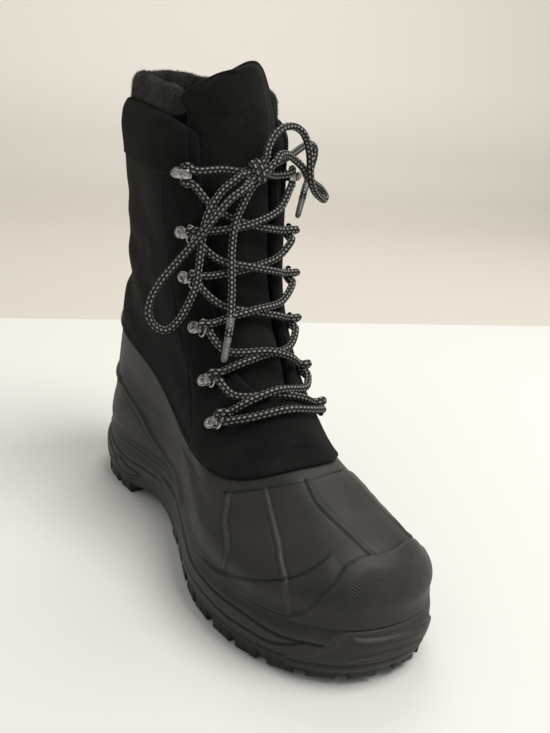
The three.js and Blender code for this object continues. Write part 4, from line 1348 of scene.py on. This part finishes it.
# Rows and degrees of the shaft's grid: below the slot it is closed, above it is open in front.
def shaftGrid(columns):
    foot = shaftSize["slotRow"]
    nominal = evenDegrees(8, columns, 0, 359.999) * 360 / 359.999
    fromToe = np.abs(signedDegrees(nominal))
    edgeRow = clothEdgeRow(nominal)
    lower = np.linspace(0, 1, 34)[:-1]
    rowGrid = [edgeRow + (foot - edgeRow) * share for share in lower]
    degGrid = [nominal] * len(lower)
    # The top edge drops and rounds off towards the tongue.
    corner = np.clip(1 - fromToe / 16, 0, 1)
    top = shaftSize["topRow"] - shaftSize["cornerDrop"] * (1 - np.sqrt(1 - corner**2 * 0.98))
    top = top - shaftSize["frontDrop"] * (1 - smoothStep(10, 70, fromToe))
    near = np.clip(1 - fromToe / 75, 0, 1) ** 1.5
    isLateral = np.arange(columns) < columns / 2
    for share in np.linspace(0, 1, 150) ** 1.12:
        rows = foot + (top - foot) * share
        slot = np.where(isLateral, throatEdge(rows[0], 1), -throatEdge(rows[0], -1))
        rowGrid.append(rows)
        degGrid.append(nominal + slot * near)
    return nominal, np.array(rowGrid), np.array(degGrid), len(lower)


# How far the cloth stands out, and how far inside a suede piece each point is.
def shaftHeights(base, rowGrid, degGrid, openRow):
    points = base.reshape(-1, 3)
    row, fromToe = rowGrid.ravel(), np.abs(signedDegrees(degGrid)).ravel()
    edgeLine = np.vstack([base[openRow:, -1][::-1], base[openRow:, 0]])
    fromThroat = distanceTo(points, edgeLine[::3])
    fromBottom = distanceTo(points, np.vstack([base[0, ::6], base[0, :1]]))
    fromTop = distanceTo(points, np.vstack([base[-1, ::5], base[-1, -1:]]))
    height = np.full(len(points), lapProud)
    height -= 1.1 * (1 - smoothStep(0, 1.6, fromThroat))
    height -= 1.0 * (1 - smoothStep(0, 1.3, fromBottom))
    height += creaseHeights(points) * smoothStep(3, 12, fromThroat)
    # The eyestay and the front are suede, laid over the nylon; so are the top band and the heel panel.
    rows, degs = zip(*shaftFeatures["eyestay"][::-1])
    near = nearBoth(points, shaftFeatures["eyestay"])
    stay = np.where(fromToe < np.abs(np.interp(row, rows, degs)), near, -near)
    stay = np.where((row < 6.2) & (fromToe < 64), np.abs(stay), stay)
    bandLine = np.vstack([lineOn(places) for places in twoSided(shaftFeatures["stitches"][1])])
    near = distanceTo(points, bandLine[::2])
    band = np.where(row > 10.85, near, -near)
    band = np.where(fromToe < 56, -20, band)
    rows, degs = zip(*shaftFeatures["backSeam"][::-1])
    near = nearBoth(points, shaftFeatures["backSeam"])
    heel = np.where((fromToe > np.interp(row, rows, degs)) & (row < 10.85), near, -near)
    suede = np.maximum.reduce([stay, band, heel])
    height += shaftSize["suedeProud"] * smoothStep(-0.5, 0.6, suede)
    height -= shaftSize["seamCut"] * crest(suede + 0.8, 0.9)
    # Beside the tongue the inner flap stands a little lower than the eyestay.
    near = nearBoth(points, shaftFeatures["flap"])
    flapDeg = np.interp(row, [10.25, 10.5, 10.9, 11.4, 12], [20, 31, 35.5, 38, 39])
    onFlap = (fromToe < flapDeg) & (row > 10.2)
    flap = smoothStep(-0.5, 0.5, np.where(onFlap, near, -near))
    height -= shaftSize["flapLower"] * flap * smoothStep(10.25, 10.8, row)
    suede = np.where(onFlap & (near > 0.2), -near, suede)
    # Collar band swells a little above its seam, and the top edge rolls in.
    height -= shaftSize["topRoll"] * np.clip(1 - fromTop / 7, 0, 1) ** 2
    height += shaftSize["bandSwell"] * crest(row - 11.4, 0.32) * smoothStep(6, 20, fromThroat)
    # A gentle, uneven drape all over.
    x, y, z = points.T
    wave = np.sin(x / 13 + z / 19) * np.sin(y / 15 - z / 23)
    height += shaftSize["drape"] * wave * smoothStep(4, 16, fromThroat) * smoothStep(3, 12, fromBottom)
    return height.reshape(rowGrid.shape), suede.reshape(rowGrid.shape)


def makeShaft():
    outerColumns, innerColumns = 450, 70
    nominal, rowGrid, degGrid, openRow = shaftGrid(outerColumns)
    base, normals = upperPoint(rowGrid, degGrid), upperNormal(rowGrid, degGrid)
    height, suede = shaftHeights(base, rowGrid, degGrid, openRow)
    outer = base + normals * height[..., None]
    # Inner face, and a lip over the top edge.
    pick = np.round(np.linspace(outerColumns - 1, 0, innerColumns)).astype(int)
    inner = base[:, pick] + normals[:, pick] * (lapProud - shaftWall)
    lipOuter = outer[-1] - normals[-1] * 0.9 + (0, 0, 0.5)
    lipInner = inner[-1] + normals[-1][pick] * 0.7 + (0, 0, 0.5)
    lip = np.concatenate([lipOuter, lipInner])[None]
    grid = np.concatenate([np.concatenate([outer, inner], axis=1), lip])
    columns = outerColumns + innerColumns
    # Below the slot the outer and inner faces are not joined in front.
    faces = [
        quad for quad in gridFaces(len(grid), columns, wrapColumns=True)
        if quad[0] // columns >= openRow or quad[0] % columns not in (outerColumns - 1, columns - 1)
    ]
    # The lip's two halves are closed over the top of the wall.
    topStart = (len(grid) - 1) * columns
    for i in range(innerColumns - 1):
        innerEnd = topStart + outerColumns + i
        faces.append([*range(topStart + pick[i + 1], topStart + pick[i] + 1), innerEnd, innerEnd + 1])
    piece = addMesh("shaftCloth", grid.reshape(-1, 3), faces, shaftCloth, "suede", ["upper_shaft"])
    share = np.clip(0.5 + suede / 3, 0, 1)
    suedeFull = np.zeros(grid.shape[:2])
    suedeFull[:, :outerColumns] = np.vstack([share, share[-1:]])
    setAttribute(piece, "suede", suedeFull)
    around = walkedAlong(upperPoint(8.0, nominal))
    setPlace(piece, np.tile(np.concatenate([around, around[pick]]), (len(grid), 1)), grid[..., 2])
    cleanMesh(piece, weld=0.02)


# Stitches as short rounded threads lying along a line.
def addStitches(name, lines, pitch, length, radius, out, slotName):
    thickness = radius * np.array([0.5, 0.85, 1, 1, 1, 0.85, 0.5])
    arch = radius * np.array([-0.5, 0.1, 0.4, 0.5, 0.4, 0.1, -0.5])
    stitches = []
    for places in lines:
        at = np.asarray(places, float)
        dense = lineOn(at, 0.02)
        steps = walkedAlong(dense)
        share = rowsWalked(at)
        run = np.linspace(0, share[-1], len(dense))
        rows, degs = smoothThrough(share, at[:, 0], run), smoothThrough(share, at[:, 1], run)
        for start in np.arange(1, steps[-1] - length, pitch):
            t = start + length * np.array([0, 0.12, 0.3, 0.5, 0.7, 0.88, 1])
            line = upperOffset(np.interp(t, steps, rows), np.interp(t, steps, degs), out + arch)
            stitches.append(tubeParts(line, thickness, 6))
    addMesh(name, *joinParts(stitches), thread, slotName)


makeShaft()
stitchLines = [*shaftFeatures["stitches"], *(twoSided(line)[1] for line in shaftFeatures["stitches"][1:])]
for inset in (0.13, 0.24):
    for first, last in ((-175, -50), (50, 175)):
        degs = np.linspace(first, last, 26)
        stitchLines.append([(float(clothEdgeRow(d)) + inset, d) for d in degs])
for gapDeg in (2.0, 3.6):
    for side in (-1, 1):
        stitchLines.append([(r, side * (abs(d) - gapDeg)) for r, d in shaftFeatures["eyestay"]])
addStitches("shaftStitching", stitchLines, 3.4, 2.5, 0.34, lapProud + 0.5, "suede")
print("shaft sewn")

# ---- tongue, collar and insole

tongueSize = {
    "inside": lapProud - shaftWall - 1.0, "thick": 8, "edgeThin": 0.45, "halfDegrees": 44,
    "footNarrows": 0.12, "crown": 3, "crownShare": 0.5, "crownBlunt": 0.6,
    "rise": 27, "leanX": -9, "leanY": 2, "slope": 17, "peak": 5, "lateralNarrow": 0.3,
    "piping": 1.1,
}


# Front and back of the tongue across one row; lift raises it past the collar.
def tongueSection(row, lift, narrow, shares):
    half = tongueSize["halfDegrees"] * narrow
    rise = np.array((tongueSize["leanX"], tongueSize["leanY"], tongueSize["rise"])) * lift
    swell = tongueSize["crown"] * smoothStep(7.8, 8.5, row)
    swell = swell * np.maximum(0, 1 - (shares / tongueSize["crownShare"]) ** 2) ** tongueSize["crownBlunt"]
    thin = 1 - tongueSize["edgeThin"] * np.abs(shares) ** 6
    rows = np.full(shares.shape, float(row))
    front = upperOffset(rows, shares * half, tongueSize["inside"] + swell) + rise
    back = upperOffset(rows, shares * half, tongueSize["inside"] - tongueSize["thick"] * thin) + rise
    return front, back


def makeTongue():
    shares = np.sin(np.linspace(-1, 1, 61) * math.pi / 2)
    rings, fronts = [], []
    stops = [(row, 0.0) for row in np.linspace(7.2, 12, 74)]
    stops += [(12, lift) for lift in np.sin(np.linspace(0.02, 1, 30) * math.pi / 2)]
    for row, lift in stops:
        narrow = 1 - tongueSize["footNarrows"] * max(0, 8 - row)
        if lift:
            narrow = np.where(shares > 0, (1.02 - lift**10) ** 0.5, (1.02 - lift**4) ** 0.5)
        outerSide = 1 - tongueSize["lateralNarrow"] * lift * smoothStep(0, 0.5, shares)
        front, back = tongueSection(row, lift, narrow, shares * outerSide)
        centre = (front + back) / 2
        half = (front - back) / 2
        # Rounded edges: the two faces meet in a half circle.
        roundOff = np.sqrt(np.clip(1 - np.abs(shares) ** 7, 0.0, 1))[:, None]
        front, back = centre + half * roundOff, centre - half * roundOff
        # Soft creases across the tongue, and a padded middle over the collar.
        z = front[:, 2]
        soft = 0.7 * np.sin(z / 7.5 + shares * 2.2) * crest(z - 205, 55)
        soft = soft + 0.45 * np.sin(z / 3.9 + 1 + shares * 4) * crest(z - 150, 40)
        soft = soft + 2.2 * np.clip(1 - shares**2, 0, 1) * lift ** 0.7 * (1 - lift**6)
        # The top slopes down to the inner side.
        across = shares * narrow
        drop = tongueSize["slope"] * lift * np.clip((0.7 - across) / 1.7, 0, 1) ** 1.3
        drop = drop - tongueSize["peak"] * lift * smoothStep(-0.4, 0.4, across)
        front[:, 2] -= drop
        back[:, 2] -= drop
        ahead = unit(front - back + 1e-6)
        front = front + ahead * (soft * (1 - shares**4))[:, None]
        rings.append(np.vstack([front, back[::-1][1:-1]]))
        fronts.append(front)
    grid = np.array(rings)
    count = grid.shape[1]
    faces = gridFaces(len(grid), count, wrapColumns=True)
    for start in (0, (len(grid) - 1) * count):
        for i in range(60):
            quad = [start + i, start + i + 1, start + (count - i - 1) % count, start + (count - i) % count]
            faces.append(list(dict.fromkeys(quad)))
    piece = addMesh("paddedTongue", grid.reshape(-1, 3), faces, tongueCloth, "tongue_nylon", ["tongue"])
    cleanMesh(piece)
    # Bound edge: piping just inside the outline, up one side, over the top and down.
    fronts = np.array(fronts)
    inset = 5
    run = np.vstack([fronts[30:, inset], fronts[-1, inset:-inset][::4], fronts[30:, -1 - inset][::-1]])
    run = throughPoints(run[::2], 1.4) + np.array((0, -0.3, 0))
    addMesh("tonguePiping", *tubeParts(run, tongueSize["piping"], 8), pipingCloth, "tongue_nylon")


rollSize = {
    "from": 50, "inset": 2.5, "height": 12, "lift": 0.8, "endHeight": 0.55, "endRun": 6,
    "profile": [(0, 0), (3.2, 0), (3.4, 0.3), (2.6, 0.65), (0.6, 0.92), (-2.4, 1), (-5.4, 0.9), (-6.8, 0.6),
                (-6.6, 0.3), (-4.4, 0)],
    "fibres": 15000, "fibreLength": 1.5,
}


# A point of the roll: t along it and turn round its section, both 0 to 1.
def rollPoint(t, turn):
    profile = np.array(rollSize["profile"] + rollSize["profile"][:1])
    walked = np.linspace(0, 1, len(profile))
    side = smoothThrough(walked, profile[:, 0], turn)
    part = smoothThrough(walked, profile[:, 1], turn)
    deg = rollSize["from"] + (360 - 2 * rollSize["from"]) * t
    nearEnd = np.minimum(1, np.sqrt(np.clip(np.sin(math.pi * t), 0, 1) * rollSize["endRun"]))
    height = rollSize["height"] * (rollSize["endHeight"] + (1 - rollSize["endHeight"]) * nearEnd)
    lumps = 1 + 0.05 * np.sin(t * 41) + 0.04 * np.sin(t * 23 + 2)
    top = upperPoint(12.0, deg)
    out = unit(upperNormal(12.0, deg) * (1, 1, 0))
    centre = -1.7
    # The ends of the roll are rounded over.
    shrink = np.sqrt(np.clip(1 - (1 - np.minimum(np.minimum(t, 1 - t) * 40, 1)) ** 2, 0.02, 1))
    side = centre + (side - centre) * shrink * (2 - lumps)
    lift = rollSize["lift"] + height * lumps * (0.45 + (part - 0.45) * shrink)
    # Its foot comes down to the shaft's edge.
    below = 4 + 30 * shaftSize["frontDrop"] * (1 - smoothStep(10, 70, np.abs(signedDegrees(deg))))
    lift = lift - below * np.clip(1 - part / 0.7, 0, 1)
    stand = lapProud - shaftWall - rollSize["inset"] + side
    return top + out * stand[..., None] + lift[..., None] * np.array((0, 0, 1.0))


def makeCollar():
    even = np.linspace(0, 1, 190)
    t = (0.5 - 0.5 * np.cos(even * math.pi) + even) / 2
    turn = np.linspace(0, 1, 41)[:-1]
    tGrid, turnGrid = np.meshgrid(t, turn, indexing="ij")
    points = rollPoint(tGrid, turnGrid)
    centre = points.mean(1, keepdims=True)
    lumpy = 0.35 * np.sin(points[..., 0] / 3.1) * np.sin(points[..., 1] / 3.7) * np.sin(points[..., 2] / 2.9)
    points = points + unit(points - centre) * lumpy[..., None]
    faces = gridFaces(len(t), len(turn), wrapColumns=True)
    faces += [loopFace(0, len(turn)), loopFace((len(t) - 1) * len(turn), len(turn))]
    piece = addMesh("fleeceCollar", points.reshape(-1, 3), faces, fleeceCloth, "fleece", ["collar"])
    cleanMesh(piece)
    # Short curled fibres over the roll.
    rng = np.random.default_rng(7)
    count = rollSize["fibres"]
    ft, fturn = rng.uniform(0.004, 0.996, count), rng.uniform(0, 1, count)
    root = rollPoint(ft, fturn)
    inner = rollPoint(ft, np.mod(fturn + 0.5, 1.0))
    away = unit(root - inner)
    lean = unit(away + rng.normal(0, 0.75, (count, 3)))
    across = unit(np.cross(lean, rng.normal(0, 1, (count, 3))))
    length = rollSize["fibreLength"] * rng.uniform(0.5, 1.2, count)[:, None]
    bend = across * length * rng.uniform(-0.5, 0.5, count)[:, None]
    wide = unit(np.cross(lean, across)) * 0.09
    points = np.stack([
        root - away * 0.3 - wide, root - away * 0.3 + wide, root + lean * length * 0.55 + wide * 0.8,
        root + lean * length * 0.55 - wide * 0.8, root + lean * length + bend,
    ], 1).reshape(-1, 3)
    first = np.arange(count) * 5
    quads = np.stack([first, first + 1, first + 2, first + 3], -1).tolist()
    tips = np.stack([first + 3, first + 2, first + 4], -1).tolist()
    addMesh("fleeceFuzz", points, quads + tips, fleeceCloth, "fleece")


def makeInsole():
    deg = evenDegrees(0, 160)
    out = -soleSize["rim"] - 2.2
    rings = []
    for lift, inset in ((1.2, 0.5), (1.6, 0), (4.8, 0), (5.3, 0.6), (5.3, 8), (5.1, 20)):
        p = edgePoint(deg, np.full(len(deg), out - inset))
        p[:, 2] = bedAt(p[:, 1]) + lift
        rings.append(p)
    grid = np.array(rings)
    faces = gridFaces(len(grid), len(deg), wrapColumns=True)
    faces += [loopFace((len(grid) - 1) * len(deg), len(deg)), loopFace(0, len(deg))[::-1]]
    piece = addMesh("feltInsole", grid.reshape(-1, 3), faces, feltCloth, "felt", ["insole"])
    cleanMesh(piece)


makeTongue()
makeCollar()
makeInsole()
print("tongue, collar and insole made")

# ---- clips, rings and hooks

rivetSize = {
    "at": -3.6,
    "profile": [(0.85, -0.5), (0.95, 0.8), (1.2, 1.15), (1.7, 1.3), (2.3, 1.15), (2.8, 0.6), (2.95, -0.3)],
}


# Flat band bent along a side view, with rounded edges; both ends are closed.
def bandParts(line, widths, thick):
    line = np.asarray(line, float)
    ahead = unit(np.gradient(line, axis=0))
    outward = np.stack([-ahead[:, 1], ahead[:, 0]], -1)
    r = thick / 2
    corner = [(1, -1), (1, 1), (-1, 1), (-1, -1)]
    rings = []
    for (u, w), (nu, nw), wide in zip(line, outward, widths):
        ring = []
        for sx, sy in corner:
            for a in (0, 45, 90):
                turn = math.radians(a)
                cx, cy = (math.cos(turn), math.sin(turn)) if sx * sy > 0 else (math.sin(turn), math.cos(turn))
                v = sx * (wide / 2 - 0.45 + 0.45 * cx)
                n = sy * (r - 0.4 + 0.4 * cy)
                ring.append((u + nu * n, v, w + nw * n))
        rings.append(ring)
    grid = np.array(rings)
    faces = gridFaces(len(grid), 12, wrapColumns=True)
    return grid.reshape(-1, 3), [*faces, loopFace(0, 12), loopFace((len(grid) - 1) * 12, 12)]


def rivetParts(base, around=20):
    angle = np.linspace(0, 2 * math.pi, around, endpoint=False)
    rings = [
        np.stack([rivetSize["at"] + r * np.cos(angle), r * np.sin(angle), np.full(around, base + h)], -1)
        for r, h in rivetSize["profile"]
    ]
    return np.vstack(rings), [*gridFaces(len(rings), around, wrapColumns=True), loopFace(0, around)]


# Sets a fitting's parts on its seat on the eyestay.
def addHardware(name, parts, seat, side):
    flat, faces = joinParts(parts)
    at, toThroat, upward, out = seatFrame(seat, side)
    placed = at + flat[:, :1] * toThroat + flat[:, 1:2] * upward + flat[:, 2:] * out
    piece = addMesh(name + "_steel", placed, faces, nickel, "steel", [name])
    cleanMesh(piece)
    piece.data.set_sharp_from_angle(angle=math.radians(50))


def clipLine():
    c, r = clipSize["barrelOuter"], clipSize["barrelOuter"] - 0.38
    flat = [(-clipSize["back"] + x, 0.75) for x in (0, 0.35, 0.9, 1.7, 2.8, 4.2, 5.6, 7.2, 8.6)]
    turn = np.radians(range(20, 181, 20))
    arc = [(clipSize["barrelAt"] + r * math.sin(a), c - r * math.cos(a)) for a in turn]
    back = [(1.1, 3.45), (0.2, 2.9), (-0.8, 2.3), (-1.6, 1.95)]
    return flat + arc + back


def clipWidths(line):
    wide = clipSize["width"]
    widths = []
    for index, (u, _) in enumerate(line):
        fromEnd = u + clipSize["back"]
        part = math.sqrt(max(0.0, 1 - (1 - min(fromEnd / 3.2, 1)) ** 2)) if index < 9 else 1
        narrow = 0.78 if u > clipSize["barrelAt"] - 1.5 else 1
        widths.append(max(wide * part * narrow, 2.2))
    return widths


def ringLine():
    bar, wide, reach = ringSize["bar"], ringSize["wide"], ringSize["reach"]
    half = [(0, 0), (bar, 0), (wide - 0.2, 1.2), (wide, 3.6), (wide * 0.8, reach * 0.77)]
    loop = [(u, v) for v, u in half] + [(reach, 0)] + [(u, -v) for v, u in half[1:][::-1]]
    line = throughPoints([(u, v, 0) for u, v in loop], 0.6, closed=True)
    c, s = math.cos(ringSize["tilt"]), math.sin(ringSize["tilt"])
    u, v = line[:, 0], line[:, 1]
    return np.stack([clipSize["barrelAt"] + u * c, v, clipSize["barrelOuter"] + u * s], -1)


def hookLine():
    bend, mid = hookSize["bend"], hookSize["bend"] - hookSize["thick"] / 2
    flat = [(-hookSize["back"] + x, 0.6) for x in (0, 0.35, 0.9, 1.7, 2.8, 4.4, 6.4, 8.6, 10.4)]
    arc = [(bend + mid * math.sin(a), bend - mid * math.cos(a)) for a in np.radians(range(10, 180, 17))]
    lip = [(2.4, 7.62), (0.6, 7.8), (-1.0, 8.15), (-2.2, 8.6), (-2.9, 8.9)]
    return flat + arc + lip


def hookWidths(line):
    widths = []
    for index, (u, w) in enumerate(line):
        ends = u + hookSize["back"] if index < 9 else (u + 2.9 if w > 7.5 else 9)
        part = math.sqrt(max(0.0, 1 - (1 - min(ends / 2.8, 1)) ** 2))
        narrow = 0.82 if index >= 8 else 1
        widths.append(max(hookSize["width"] * part * narrow, 2.0))
    return widths


def makeHardware():
    clipBend, hookBend = clipLine(), hookLine()
    clip = [bandParts(clipBend, clipWidths(clipBend), clipSize["thick"]), rivetParts(clipSize["thick"])]
    ring = [tubeParts(ringLine(), ringSize["wire"], 10, closed=True)]
    hook = [bandParts(hookBend, hookWidths(hookBend), hookSize["thick"]), rivetParts(hookSize["thick"])]
    for sideName, side in (("medial", -1), ("lateral", 1)):
        for level, seat in enumerate(ringSeats):
            addHardware(f"clip_{sideName}_{level + 1}", clip, seat, side)
            addHardware(f"ring_{sideName}_{level + 1}", ring, seat, side)
        addHardware(f"hook_{sideName}", hook, hookSeat, side)


makeHardware()
print("clips, rings and hooks made")
